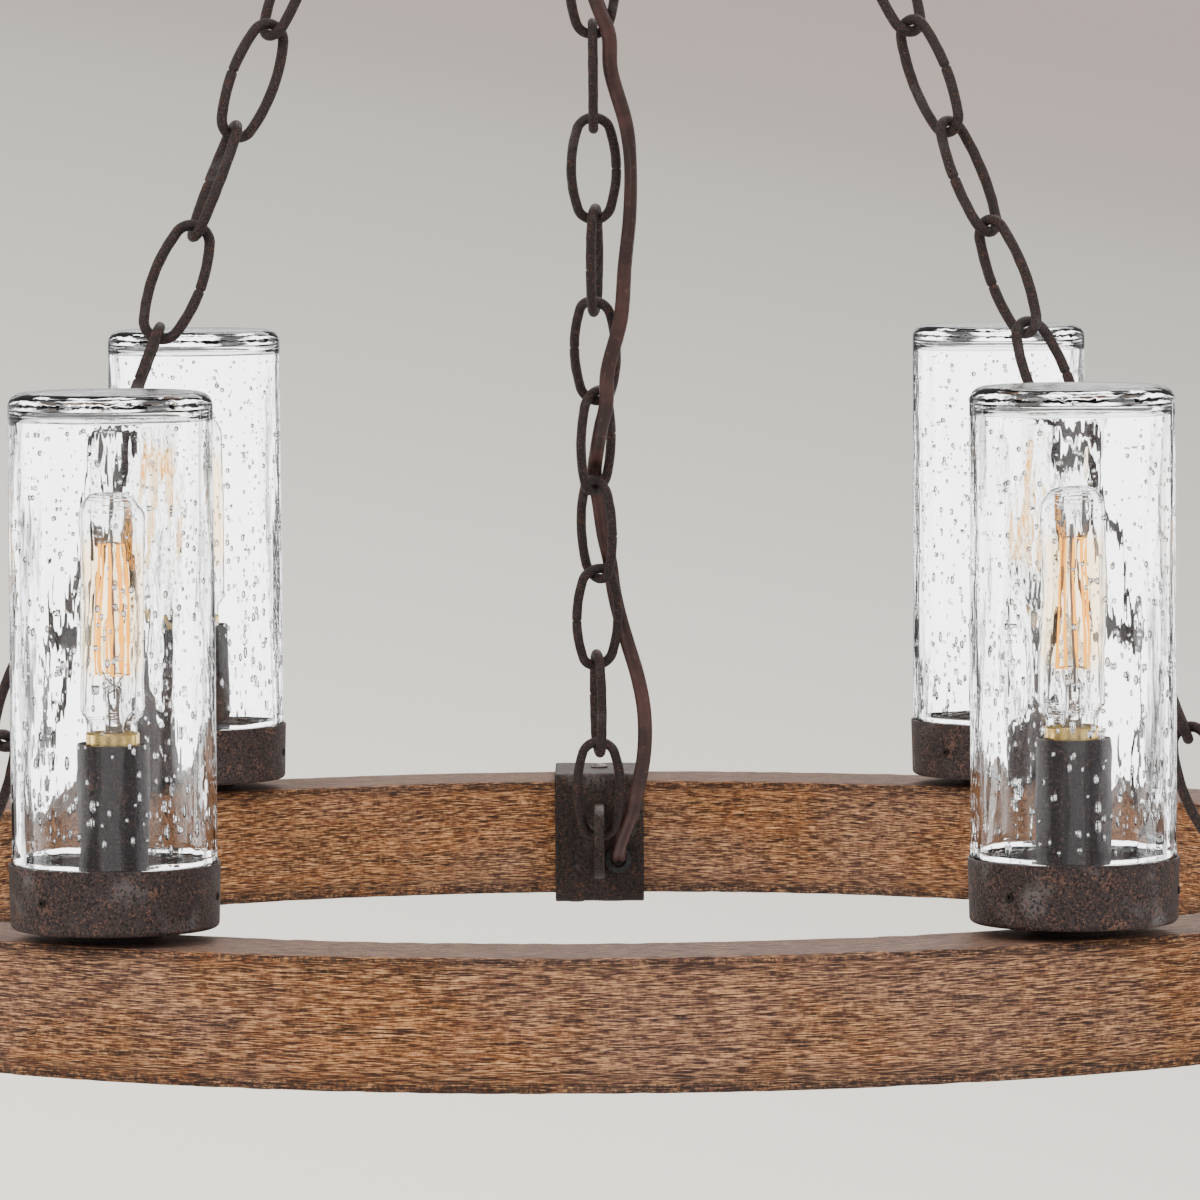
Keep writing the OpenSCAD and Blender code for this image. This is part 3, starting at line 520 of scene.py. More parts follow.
def rim_outline():
    """The rim's section, once round, as distance from the axis and height, about 2 mm apart."""
    def run(p, q):
        n = max(1, round(math.dist(p, q) / spacing))
        return [(p[0] + (q[0] - p[0]) * i / n, p[1] + (q[1] - p[1]) * i / n) for i in range(n)]

    def bend(x, z, a):
        return [(x + corner * math.cos(math.radians(a + 18 * i)),
                 z + corner * math.sin(math.radians(a + 18 * i))) for i in range(5)]

    c, m = corner, rim_middle
    cover_z, groove_z = rim_bottom + cover_thick, rim_bottom + groove_deep
    out = run((rim_outer, rim_bottom + c), (rim_outer, rim_top - c))
    out += bend(rim_outer - c, rim_top - c, 0)
    out += run((rim_outer - c, rim_top), (rim_inner + c, rim_top))
    out += bend(rim_inner + c, rim_top - c, 90)
    out += run((rim_inner, rim_top - c), (rim_inner, rim_bottom + c))
    out += bend(rim_inner + c, rim_bottom + c, 180)
    out += run((rim_inner + c, rim_bottom), (m - cover_half, rim_bottom))
    out += [(m - cover_half, rim_bottom), (m - cover_half, cover_z)]
    out += [(m - groove_half, cover_z), (m - groove_half, groove_z)]
    out += [(m + groove_half, groove_z), (m + groove_half, cover_z)]
    out += [(m + cover_half, cover_z), (m + cover_half, rim_bottom)]
    out += run((m + cover_half, rim_bottom), (rim_outer - c, rim_bottom))[1:]
    out += bend(rim_outer - c, rim_bottom + c, 270)
    return np.array(out)


outline = rim_outline()
turns_round = angles(stations)
n = len(outline)
ahead = np.roll(outline, -1, 0) - np.roll(outline, 1, 0)
inward = np.stack([-ahead[:, 1], ahead[:, 0]], 1)
inward /= np.linalg.norm(inward, axis=1)[:, None]
clean_height, clean_half = rim_top - 0.0635, 0.0175
off_groove = (outline[:, 1] > clean_height) | (abs(outline[:, 0] - rim_middle) > clean_half)
to_corner = np.min([np.hypot(outline[:, 0] - x, outline[:, 1] - z)
                    for x in (rim_inner, rim_outer) for z in (rim_top, rim_bottom)], axis=0)
worn_reach, grain_depth, nick_depth = 0.0035, 0.0005, 0.0016
worn = np.exp(-((to_corner / worn_reach) ** 2))
rng = np.random.default_rng(7)
depth = np.zeros((stations, n))
along = np.arange(n) * spacing
# The grain's relief, from broad ripples to fine ones, then nicks along the worn corners.
for waves, across_waves, size in ((9, 60, 0.16), (23, 130, 0.11), (47, 330, 0.10),
                                  (90, 700, 0.08), (150, 1100, 0.07)):
    for _ in range(5):
        a = rng.integers(max(1, waves // 2), waves + waves // 2)
        b = rng.uniform(0.5, 1.5) * across_waves
        wave = np.sin(turns_round[:, None] * a + along[None] * b + rng.uniform(0, 6.28))
        depth += size / 5 * wave
depth = np.clip(0.28 + depth, 0, 1) * grain_depth
nicks = np.zeros((stations, n))
for _ in range(11):
    a, b = rng.integers(5, 170), rng.uniform(0, 6.28)
    nicks += np.sin(turns_round[:, None] * a + b + 3 * np.sin(to_corner[None] * 900 + b))
nicks = np.clip(nicks / 11 + 0.12, 0, 1) * nick_depth
depth = (depth + worn[None] * nicks) * off_groove[None]
section = outline[None] + inward[None] * depth[:, :, None]
skin = np.stack([section[:, :, 0] * np.cos(turns_round)[:, None],
                 section[:, :, 0] * np.sin(turns_round)[:, None], section[:, :, 1]], 2)
rim = mesh_piece("rim", skin.reshape(-1, 3), [f[::-1] for f in skin_faces(stations, n, True)])

oak_grain, given, made = new_effect("grain round the hoop", [
    ("Run", "Float", 8.0), ("Fineness", "Float", 900.0)],
    [("Streaks", "Float"), ("Pores", "Float"), ("Checks", "Float"), ("Fibres", "Float")])
g = oak_grain
place = on_piece(g)
part = node(g, "SeparateXYZ", Vector=place).outputs
far_squared = calc(g, "ADD", times(g, part[0], part[0]), times(g, part[1], part[1]))
far = calc(g, "SQRT", far_squared)


def grain_noise(run_share, fine_share, detail, rough):
    """Noise drawn out round the hoop, with no seam: three places and a fourth, the distance out."""
    run = times(g, given["Run"], run_share)
    fine = times(g, given["Fineness"], fine_share)
    run_x = times(g, calc(g, "DIVIDE", part[0], far), run)
    run_y = times(g, calc(g, "DIVIDE", part[1], far), run)
    spot = node(g, "CombineXYZ", X=run_x, Y=run_y, Z=times(g, part[2], fine)).outputs[0]
    return cloud(g, spot, 1.0, detail, rough, settings={"noise_dimensions": "4D"},
                 W=times(g, far, fine), Distortion=0.06)


broad, middle = grain_noise(0.6, 0.16, 4, 0.55), grain_noise(2.0, 0.55, 4, 0.6)
fine, crack = grain_noise(7.0, 1.6, 3, 0.6), grain_noise(1.1, 0.40, 2, 0.5)
streaks = scaled(g, broad, 0.5, times(g, middle, 0.5))
feed(g, made["Streaks"], step(g, streaks, 0.36, 0.64))
feed(g, made["Pores"], step(g, fine, 0.50, 0.38))
feed(g, made["Fibres"], step(g, fine, 0.50, 0.66))
split = step(g, calc(g, "ABSOLUTE", calc(g, "SUBTRACT", crack, 0.5)), 0.012, 0.003)
feed(g, made["Checks"], times(g, split, step(g, middle, 0.48, 0.60)))


def oak_finish(name, dark, brown, pale, plum, painted_top_shade):
    """Weathered brown oak with dark pores and pale fibres along the grain, painted shade on top."""
    material, tree, shader = new_finish(name, Specular_IOR_Level=0.35)
    grain = effect(tree, oak_grain, Run=8.0, Fineness=1600.0)
    place = on_piece(tree)
    stain = step(tree, cloud(tree, place, 7, 4, 0.6), 0.42, 0.60)
    mottle = cloud(tree, place, 420, 4, 0.65)
    colour = tint(tree, grain["Streaks"], dark, brown)
    for mask, share, over in (
            (stain, 0.60, plum), (grain["Fibres"], 0.92, pale),
            (step(tree, mottle, 0.50, 0.66), 0.28, pale),
            (step(tree, mottle, 0.50, 0.34), 0.42, dark),
            (grain["Pores"], 0.88, (0.020, 0.011, 0.009, 1)),
            (grain["Checks"], 1.0, (0.014, 0.008, 0.006, 1))):
        colour = tint(tree, times(tree, mask, share), colour, over)
    # Painted shade: faces that look up are painted darker and greyer than the sides.
    up = node(tree, "SeparateXYZ", Vector=node(tree, "NewGeometry").outputs["Normal"]).outputs[2]
    colour = tint(tree, times(tree, step(tree, up, 0.75, 0.97), 0.58), colour, painted_top_shade)
    # Dark patches by the side faces' edges: partly stained wear, partly painted shade.
    high = node(tree, "SeparateXYZ", Vector=place).outputs[2]
    near_edge = calc(tree, "MAXIMUM", step(tree, high, rim_top - 0.009, rim_top - 0.0015),
                     step(tree, high, rim_bottom + 0.014, rim_bottom + 0.002))
    side_on = step(tree, up, 0.9, 0.6)
    patchy = times(tree, side_on, step(tree, mottle, 0.40, 0.56))
    edge_wear_and_shade = times(tree, near_edge, patchy)
    colour = tint(tree, times(tree, edge_wear_and_shade, 0.85), colour, (0.026, 0.014, 0.012, 1))
    paint(tree, shader, colour, scaled(tree, mottle, 0.30, 0.48))
    raised = scaled(tree, grain["Streaks"], 0.5, times(tree, mottle, 0.7))
    sunk = scaled(tree, grain["Pores"], 0.7, grain["Checks"])
    raise_skin(tree, shader, calc(tree, "SUBTRACT", raised, sunk), 0.0009, 0.8)
    return material


oak = oak_finish("rim_wood", (0.090, 0.029, 0.011, 1), (0.450, 0.152, 0.043, 1),
                 (1.0, 0.53, 0.235, 1), (0.215, 0.121, 0.107, 1), (0.135, 0.092, 0.084, 1))
rim.data.materials.append(oak)
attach(rim, "wheel")
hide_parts("wheel_rim")
cover_oak = oak_finish("cover_wood", (0.070, 0.038, 0.025, 1), (0.190, 0.105, 0.062, 1),
                       (0.40, 0.25, 0.15, 1), (0.15, 0.11, 0.10, 1), (0.12, 0.10, 0.09, 1))
dress(cover_oak, "groove_cover")


# Leg straps: flat iron, 52 by 5 mm, bent round the top, the inner face and the bottom of the rim,
# with a welded upright lug that takes the first link. Two wood screws hold each one.
strap_half, strap_thick, lip = 0.026, 0.005, 0.012


def strap_line():
    """The strap's way over the rim: a place on the wood, and which way is out, row by row."""
    def run(p, q, out, n):
        return [((p[0] + (q[0] - p[0]) * i / n, p[1] + (q[1] - p[1]) * i / n), out)
                for i in range(n + 1)]

    def corner_turn(p, a0, a1):
        return [(p, (math.cos(math.radians(a)), math.sin(math.radians(a))))
                for a in np.linspace(a0, a1, 9)[1:-1]]

    rows = run((rim_outer, rim_top - lip), (rim_outer, rim_top), (1, 0), 5)
    rows += corner_turn((rim_outer, rim_top), 0, 90)
    rows += run((rim_outer, rim_top), (rim_inner, rim_top), (0, 1), 24)
    rows += corner_turn((rim_inner, rim_top), 90, 180)
    rows += run((rim_inner, rim_top), (rim_inner, rim_bottom), (-1, 0), 24)
    rows += corner_turn((rim_inner, rim_bottom), 180, 270)
    rows += run((rim_inner, rim_bottom), (rim_outer - 0.002, rim_bottom), (0, -1), 24)
    return rows


def strap_piece(name, azimuth, seed):
    """One bent strap, its edges eased by e, with a faintly hammered face."""
    e, dent, face_points = 0.0009, 0.00035, 17
    across = []
    for x, h in ((1, 0), (1, 1), (-1, 1), (-1, 0)):
        for a in (0, 45, 90):
            start = {(1, 0): 270, (1, 1): 0, (-1, 1): 90, (-1, 0): 180}[x, h] + a
            across.append((x * (strap_half - e) + e * math.cos(math.radians(start)),
                           e + h * (strap_thick - 2 * e) + e * math.sin(math.radians(start))))
        if (x, h) in ((1, 1), (-1, 0)):
            way = -1 if h else 1
            across += [(way * w, strap_thick * h)
                       for w in np.linspace(0.002 - strap_half, strap_half - 0.002, face_points)]
    a = math.radians(azimuth)
    out_way, side_way = np.array([math.cos(a), math.sin(a)]), np.array([-math.sin(a), math.cos(a)])
    points = []
    for (r, z), (dr, dz) in strap_line():
        for w, h in across:
            rr = r + dr * h
            flat = out_way * math.sqrt(rr * rr - w * w) + side_way * w
            points.append((flat[0], flat[1], z + dz * h, dr, dz, h))
    points = np.array(points)
    dents = np.clip(0.5 + 0.6 * ripple(points[:, :3], 0.016, seed), 0, 1) * dent
    dents *= points[:, 5] > strap_thick / 2
    points[:, 0] -= points[:, 3] * out_way[0] * dents
    points[:, 1] -= points[:, 3] * out_way[1] * dents
    points[:, 2] -= points[:, 4] * dents
    return mesh_piece(name, points[:, :3], skin_faces(len(strap_line()), len(across), False))


def lug_piece(name, azimuth):
    """The upright lug: a plate with a round end and a round hole, its edges eased by e."""
    a = math.radians(azimuth)
    out_way = np.array([math.cos(a), math.sin(a), 0])
    side_way = np.array([-math.sin(a), math.cos(a), 0])
    round_r, root, e = 0.021, 0.0305, 0.0008
    hole, half = lug_hole, lug_half
    count, points = 96, []
    for q in angles(count):
        c, s = math.cos(q), math.sin(q)
        edge = round_r
        if c > 0:
            edge = min(root / max(c, 1e-9), round_r / max(abs(s), 1e-9))
        ring = [(hole, half - e), (hole + e * 0.3, half - e * 0.3), (hole + e, half),
                ((hole + edge) / 2, half),
                (edge - e, half), (edge - e * 0.3, half - e * 0.3), (edge, half - e)]
        ring += [(r, -t) for r, t in ring[::-1]]
        for r, t in ring:
            points.append(np.array([0, 0, lug_height]) + out_way * (lug_out + r * c)
                          + np.array([0, 0, r * s]) + side_way * t)
    return mesh_piece(name, points, [f[::-1] for f in skin_faces(count, len(ring), True)])


strap_iron = iron_finish("strap_iron", 0.0007, Iron=(0.030, 0.021, 0.019, 1),
                         Rust=(0.125, 0.055, 0.033, 1), Bloom=(0.16, 0.15, 0.145, 1),
                         Waves=75.0, Rust_Share=0.36, Bloom_Share=0.45)
for seed, (side, (azimuth, _)) in enumerate(legs.items()):
    band = strap_piece(side + "_band", azimuth, 500 + seed)
    lug = lug_piece(side + "_lug", azimuth)
    lug.parent = band
    for piece in (band, lug):
        piece.data.materials.append(strap_iron)
    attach(band, "wheel")
    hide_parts(side + "_strap")


def screw_piece(name, heads):
    """Round-headed wood screws with a driver slot, each at a place with a way up and a turn."""
    dome, count, slot_half, slot_floor, flush = 0.0074, 32, 0.0007, 0.0009, 0.0008
    points, faces = [], []
    profile = [(0.0021, -0.024), (0.0021, 0.0), (0.0050, 0.0), (0.0050, 0.0006)]
    profile += [(dome * math.cos(math.radians(x)), -0.0048 + dome * math.sin(math.radians(x)))
                for x in np.linspace(47, 88, 7)]
    for (x, y, z), way, turn in heads:
        start = len(points)
        for r, h in profile:
            for q in angles(count):
                px, py = r * math.cos(q), r * math.sin(q)
                in_slot = abs(px * math.cos(turn) + py * math.sin(turn)) < slot_half
                height = slot_floor if h > flush and in_slot else h
                points.append((x + px, y + way * py,
                               z + (height if way > 0 else -min(height, flush))))
        faces += skin_faces(len(profile), count, False, start)
    return mesh_piece(name, points, faces)


heads = []
for azimuth in (90, 210, 330):
    c, s = math.cos(math.radians(azimuth)), math.sin(math.radians(azimuth))
    heads.append(((rim_middle * c, rim_middle * s, rim_top + strap_thick), 1, azimuth * 1.7))
    under_r, aside = 0.44375, 0.014
    heads.append(((under_r * c - aside * s, under_r * s + aside * c, rim_bottom - strap_thick),
                  -1, azimuth * 0.9))
screws = screw_piece("strap_screw_heads", heads)
screw_steel = iron_finish("screw_steel", 0.0003, 0.8, Iron=(0.26, 0.24, 0.23, 1),
                          Rust=(0.16, 0.09, 0.06, 1), Bloom=(0.42, 0.40, 0.39, 1),
                          Waves=160.0, Rust_Share=0.2, Bloom_Share=0.6)
screws.data.materials.append(screw_steel)
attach(screws, "wheel")
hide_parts("strap_screws")


# Lamp cups, their spacers, set screws and socket covers: thin spun sheet, darkened and rusted
# like the chain, in a coarser mottle, with the socket's pale body down inside its cover.
cup_iron = iron_finish("cup_iron", 0.0010, Iron=(0.050, 0.036, 0.035, 1),
                       Rust=(0.200, 0.105, 0.078, 1), Bloom=(0.27, 0.25, 0.25, 1),
                       Waves=95.0, Rust_Share=0.46, Bloom_Share=0.55)
spacer_iron = iron_finish("spacer_iron", Iron=(0.020, 0.014, 0.012, 1), Rust=(0.06, 0.03, 0.02, 1),
                          Bloom=(0.06, 0.055, 0.05, 1), Waves=90.0, Rust_Share=0.3, Bloom_Share=0.2)
dress(cup_iron, *["cup_%d" % i for i in range(1, 7)])
dress(spacer_iron, "cup_spacers", "set_screws")
cover_iron = iron_finish("cover_iron", Iron=(0.020, 0.016, 0.018, 1),
                         Rust=(0.10, 0.054, 0.044, 1), Bloom=(0.075, 0.070, 0.078, 1),
                         Waves=75.0, Rust_Share=0.40, Bloom_Share=0.4)
dress(cover_iron, "socket_covers")
porcelain, tree, shader = new_finish("socket_body", Coat_Weight=0.4)
place = on_piece(tree)
glaze = cloud(tree, place, 120, 4, 0.6)
colour = tint(tree, step(tree, glaze, 0.4, 0.7), (0.74, 0.71, 0.64, 1), (0.62, 0.58, 0.50, 1))
paint(tree, shader, colour, scaled(tree, glaze, 0.3, 0.2))
raise_skin(tree, shader, glaze, 0.0002, 0.3)
dress(porcelain, "lamp_sockets")


# Shades: closed-top cylinders of clear seeded glass, 5 mm thick, blown a little uneven, with
# round bubbles high up and long drawn ones lower down, standing loose in their cups.
lamp_places = [(rim_middle * math.cos(a), rim_middle * math.sin(a))
               for a in (math.radians(60 * i) for i in range(6))]
glass_foot, glass_step, glass_head = rim_top + 0.0070, rim_top + 0.0378, rim_top + 0.2676
wall_middle, wall_room, inside_rows, wave_depth = 0.0480, 0.0013, 100, 0.00042
seeds, seed_least, seed_spread, seed_most = 1000, 0.00050, 0.00036, 0.0014
seed_deepest, seed_off = 0.0011, 0.0009


def shade_outline():
    """The shade's section: from inside its top down the bore, round the lip and up again."""
    def arc(x, z, r, a, b, n):
        return [(x + r * math.cos(math.radians(q)), z + r * math.sin(math.radians(q)))
                for q in np.linspace(a, b, n)]

    def line(p, q, n):
        return [(p[0] + (q[0] - p[0]) * t, p[1] + (q[1] - p[1]) * t)
                for t in np.linspace(0, 1, n)[1:]]

    bore_top, bore, lip_out, out, crown = 0.0457, 0.0452, 0.0497, 0.0506, 0.0502
    roof, inner_r, outer_r, eased_by = glass_head - 0.008, 0.006, 0.007, 0.0006
    rows = [(x, roof) for x in np.linspace(0.0012, 0.0385, 14)]
    rows += arc(bore_top - inner_r, roof - inner_r, inner_r, 84, 0, 7)
    rows += line((bore_top, roof - inner_r), (bore, glass_foot + 0.001), 70)
    rows += arc(bore + 0.001, glass_foot + 0.001, 0.001, 200, 270, 4)
    rows += arc(lip_out - 0.002, glass_foot + 0.002, 0.002, -90, 0, 5)
    rows += [(lip_out, glass_step), (out - eased_by, glass_step), (out, glass_step + eased_by)]
    rows += line((out, glass_step + eased_by), (crown, glass_head - outer_r), 64)
    rows += arc(crown - outer_r, glass_head - outer_r, outer_r, 0, 90, 10)[1:]
    rows += [(x, glass_head) for x in np.linspace(0.042, 0.0012, 14)]
    return np.array(rows)


def seed_ball(across, along):
    """The corners and faces of a small ball whose faces look inward, as a bubble's do."""
    points = [(0, 0, along)]
    for lat in np.linspace(math.pi / 2, -math.pi / 2, 7)[1:-1]:
        for lon in np.linspace(0, 2 * math.pi, 9)[:-1]:
            points.append((across[0] * math.cos(lat) * math.cos(lon),
                           across[1] * math.cos(lat) * math.sin(lon), along * math.sin(lat)))
    points.append((0, 0, -along))
    faces = [(0, 1 + (k + 1) % 8, 1 + k) for k in range(8)]
    for i in range(4):
        for k in range(8):
            a, b, m = 1 + i * 8, 9 + i * 8, (k + 1) % 8
            faces.append((a + k, a + m, b + m, b + k))
    faces += [(41, 33 + k, 33 + (k + 1) % 8) for k in range(8)]
    return np.array(points), faces


def shade_piece(index):
    """One blown shade with its seeds, as one closed skin with the bubbles as cavities."""
    cx, cy = lamp_places[index]
    rng = np.random.default_rng(40 + index)
    rows, around = shade_outline(), 120
    points = np.array([(r * math.cos(q), r * math.sin(q), z) for r, z in rows
                       for q in angles(around)])
    stretched = points * (1, 1, 0.28)
    wave = np.clip(0.5 + 0.42 * ripple(stretched, 0.024, 60 + index), 0, 1)
    wall = (points[:, 2] > glass_step + 0.002) & (np.hypot(points[:, 0], points[:, 1]) > 0.030)
    outer = np.repeat(np.arange(len(rows)) > inside_rows, around)
    shift = np.where(wall, wave * wave_depth, 0) * np.where(outer, -1, 1)
    radius = np.maximum(np.hypot(points[:, 0], points[:, 1]), 1e-6)
    points[:, 0] += points[:, 0] / radius * shift
    points[:, 1] += points[:, 1] / radius * shift
    faces = skin_faces(len(rows), around, False)
    points, faces = list(points), [tuple(f) for f in faces]
    for _ in range(seeds):
        q, share = rng.uniform(0, 2 * math.pi), rng.uniform()
        z = glass_step + 0.005 + share * (glass_head - glass_step - 0.020)
        size = min(seed_most, seed_least + rng.exponential(seed_spread))
        drawn = 1.05 + max(0, 0.75 - share) * rng.uniform(1.0, 3.0)
        deep = min(size * 0.9, seed_deepest)
        r = wall_middle + rng.uniform(-seed_off, seed_off) * (1 - deep / wall_room)
        ball, ball_faces = seed_ball((deep, size), size * drawn)
        out, aside, high = ball.T
        c, s = math.cos(q), math.sin(q)
        turned = np.stack([(r + out) * c - aside * s, (r + out) * s + aside * c, z + high], 1)
        faces += [tuple(len(points) + k for k in f) for f in ball_faces]
        points += list(turned)
    return mesh_piece("glass_%d" % (index + 1), np.array(points) + (cx, cy, 0), faces)


def clear_glass(name, tone, waves, lift, painted_glow=None):
    """Glass that lets lamplight straight through to what is behind it; a painted glow if given."""
    material, tree, shader = new_finish(name, Base_Color=tone, Roughness=0.0, IOR=1.5,
                                        Transmission_Weight=1.0, Metallic=0.0)
    place = on_piece(tree)
    drawn = drawn_out(tree, place, 1, 1, 0.22)
    raise_skin(tree, shader, cloud(tree, drawn, waves, 2, 0.4), lift, 0.35)
    # Painted glow: round the filament the glass is tinted warm, in streaks, as if lit by it.
    if painted_glow:
        high = node(tree, "SeparateXYZ", Vector=place).outputs[2]
        lit_part = times(tree, step(tree, high, rim_top + 0.122, rim_top + 0.138),
                         step(tree, high, rim_top + 0.200, rim_top + 0.190))
        ribbon = cloud(tree, drawn_out(tree, place, 1, 1, 0.06), 260, 3)
        lit_part = times(tree, lit_part, scaled(tree, ribbon, 0.9, 0.35))
        feed(tree, shader.inputs["Base Color"], tint(tree, lit_part, tone, painted_glow))
    passing = node(tree, "BsdfTransparent", Color=tone)
    path = node(tree, "LightPath")
    both = node(tree, "MixShader")
    tree.links.new(path.outputs["Is Shadow Ray"], both.inputs[0])
    tree.links.new(shader.outputs[0], both.inputs[1])
    tree.links.new(passing.outputs[0], both.inputs[2])
    tree.links.new(both.outputs[0], tree.nodes["Material Output"].inputs["Surface"])
    return material


seeded_glass = clear_glass("seeded_glass", (0.992, 0.995, 0.995, 1), 150, 0.0005)
for index in range(6):
    glass = shade_piece(index)
    glass.data.materials.append(seeded_glass)
    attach(glass, "shade_%d" % (index + 1))
    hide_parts("shade_%d" % (index + 1))


# Bulbs: clear tubular glass on a brass screw base, with a glass stem and an upright filament
# cage of thin amber wires hung between two spiders of dark hooks.
# The bulb glass has a painted glow round the filament.
bulb_glass = clear_glass("bulb_glass", (0.985, 0.985, 0.980, 1), 60, 0.0002, (1.0, 0.86, 0.64, 1))
dress(bulb_glass, *["bulb_%d" % i for i in range(1, 7)])
brass, tree, shader = new_finish("brass", Metallic=1.0)
place = on_piece(tree)
tarnish = cloud(tree, place, 160, 5, 0.6)
lines = cloud(tree, drawn_out(tree, place, 60, 60, 1600), 1.0, 2)
dulled = step(tree, tarnish, 0.45, 0.72)
colour = tint(tree, dulled, (0.86, 0.60, 0.20, 1), (0.55, 0.34, 0.11, 1))
turned = scaled(tree, lines, 0.15, 0.05)
paint(tree, shader, colour, scaled(tree, tarnish, 0.35, turned))
raise_skin(tree, shader, lines, 0.0001, 0.3)
dress(brass, *["bulb_base_%d" % i for i in range(1, 7)])


def rods(name, runs, around=8):
    """Thin round wires along lines of points, each with its own radius, as one piece."""
    points, faces = [], []
    for line, radius in runs:
        line = np.array(line, float)
        t = np.gradient(line, axis=0)
        t /= np.linalg.norm(t, axis=1)[:, None]
        a = unit(np.cross(t[0], [0.31, 0.87, 0.37]))
        start = len(points)
        for p, way in zip(line, t):
            a = unit(a - way * (a @ way))
            b = np.cross(way, a)
            for q in angles(around):
                points.append(p + (a * math.cos(q) + b * math.sin(q)) * radius)
        faces += skin_faces(len(line), around, False, start)
    return mesh_piece(name, points, faces)


def filament_runs(cx, cy, turn):
    """The lines of one bulb's glowing strands, and of the hooks and leads that carry them."""
    def at(r, q, z):
        return (cx + r * math.cos(q), cy + r * math.sin(q), z)

    low, high, foot = rim_top + 0.1298, rim_top + 0.1938, rim_top + 0.112
    top_r, low_r, belly, count = 0.0066, 0.0074, 0.0007, 9
    strand, bridge, hook, mast, lead = 0.00058, 0.00034, 0.00028, 0.0007, 0.00035
    strands, hooks = [], []
    for k in range(count):
        q = turn + 2 * math.pi * k / count
        strands.append(([at(top_r + (low_r - top_r) * u + belly * math.sin(math.pi * u),
                            q + 0.05 * u, high + (low - high) * u)
                         for u in np.linspace(0, 1, 9)], strand))
        z, reach, r = (high, 0.0075, top_r) if k % 2 == 0 else (low, 0.0082, low_r)
        hooks.append(([(cx, cy, z + 0.001), at(0.5 * reach, q, z + 0.0004), at(reach, q, z)], hook))
        if k < count - 1:
            across = np.linspace(q, q + 2 * math.pi / count, 5)
            strands.append(([at(r, a, z) for a in across], bridge))
    hooks.append(([(cx, cy, foot + 0.006), (cx, cy, high + 0.007)], mast))
    for side, end in ((1, low + 0.002), (-1, low)):
        hooks.append(([(cx + side * 0.0008, cy, foot), (cx + side * 0.0022, cy, foot + 0.008),
                       (cx + side * 0.0065 * math.cos(turn), cy + 0.0065 * math.sin(turn), end)],
                      lead))
    return strands, hooks


def stem_piece(index):
    """The bulb's inner glass: a tube flared out to the neck, pinched flat where the leads pass."""
    cx, cy = lamp_places[index]
    z0 = rim_top + 0.0968
    count, pinch_from = 32, 0.02
    points = []
    rows = [(0.0108, 0), (0.0108, 0.0010), (0.0060, 0.0028), (0.0046, 0.006), (0.0041, 0.012),
            (0.0038, 0.019), (0.0032, 0.0230), (0.0027, 0.0262), (0.0020, 0.0274), (0.0008, 0.0278)]
    for r, h in rows:
        wide, flat = (1.25, 0.7) if h > pinch_from else (1, 1)
        for q in angles(count):
            points.append((cx + r * math.cos(q) * wide, cy + r * math.sin(q) * flat, z0 + h))
    return mesh_piece("stem_%d" % (index + 1), points, skin_faces(len(rows), count, False))


glow, tree, shader = new_finish("filament", Roughness=0.5, Emission_Strength=1.8)
place = on_piece(tree)
heat = cloud(tree, place, 130, 2)
amber = tint(tree, heat, (1.0, 0.36, 0.0, 1), (1.0, 0.56, 0.004, 1))
feed(tree, shader.inputs["Base Color"], amber)
feed(tree, shader.inputs["Emission Color"], amber)
hook_wire, tree, shader = new_finish("hook_wire", Metallic=0.9)
place = on_piece(tree)
worn_wire = cloud(tree, place, 500, 3)
colour = tint(tree, worn_wire, (0.10, 0.075, 0.06, 1), (0.26, 0.20, 0.16, 1))
paint(tree, shader, colour, scaled(tree, worn_wire, 0.3, 0.25))
for index, (cx, cy) in enumerate(lamp_places):
    name = "bulb_%d" % (index + 1)
    strands, hooks = filament_runs(cx, cy, 0.35 + 0.9 * index)
    strand_piece = rods("strands_%d" % (index + 1), strands)
    hook_piece = rods("hooks_%d" % (index + 1), hooks)
    stem = stem_piece(index)
    strand_piece.data.materials.append(glow)
    hook_piece.data.materials.append(hook_wire)
    stem.data.materials.append(bulb_glass)
    for piece in (strand_piece, hook_piece, stem):
        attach(piece, name)
    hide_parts("filament_%d" % (index + 1))


# The room: a plain pale floor that curves up into a wide round wall, glowing with painted light,
# graded where it is seen. Big soft lamps light the chandelier, the strongest at the upper left of
# the view. Through the glass and in polished faces the wall shows as white screens with dark gaps
# between them, so that edges and bubbles stand out.
bowl_rows = [(0.0, -9.0), (6.0, -9.0), (14.0, -9.0), (20.0, -8.6), (24.0, -7.4), (27.0, -5.0),
             (28.6, -1.8), (29.2, 2.0), (29.4, 8.0), (29.4, 16.0)]
bowl_line = eased(np.array(bowl_rows), 4)
bowl_round, bowl_rings = 96, len(bowl_line) - 1
points = [(r * math.cos(q), r * math.sin(q), z) for r, z in np.maximum(bowl_line[1:], (0.01, -9.0))
          for q in angles(bowl_round)]
faces = skin_faces(bowl_rings, bowl_round, True)[: bowl_round * (bowl_rings - 1)]
bowl = mesh_piece("floor_and_wall", points, [f[::-1] for f in faces])
painted_wall_glow, tree, shader = new_finish("painted_wall_light", Roughness=0.9, Emission_Strength=1.0,
                                 Base_Color=(0.02, 0.02, 0.02, 1))
place = node(tree, "NewGeometry").outputs["Position"]
part = node(tree, "SeparateXYZ", Vector=place).outputs
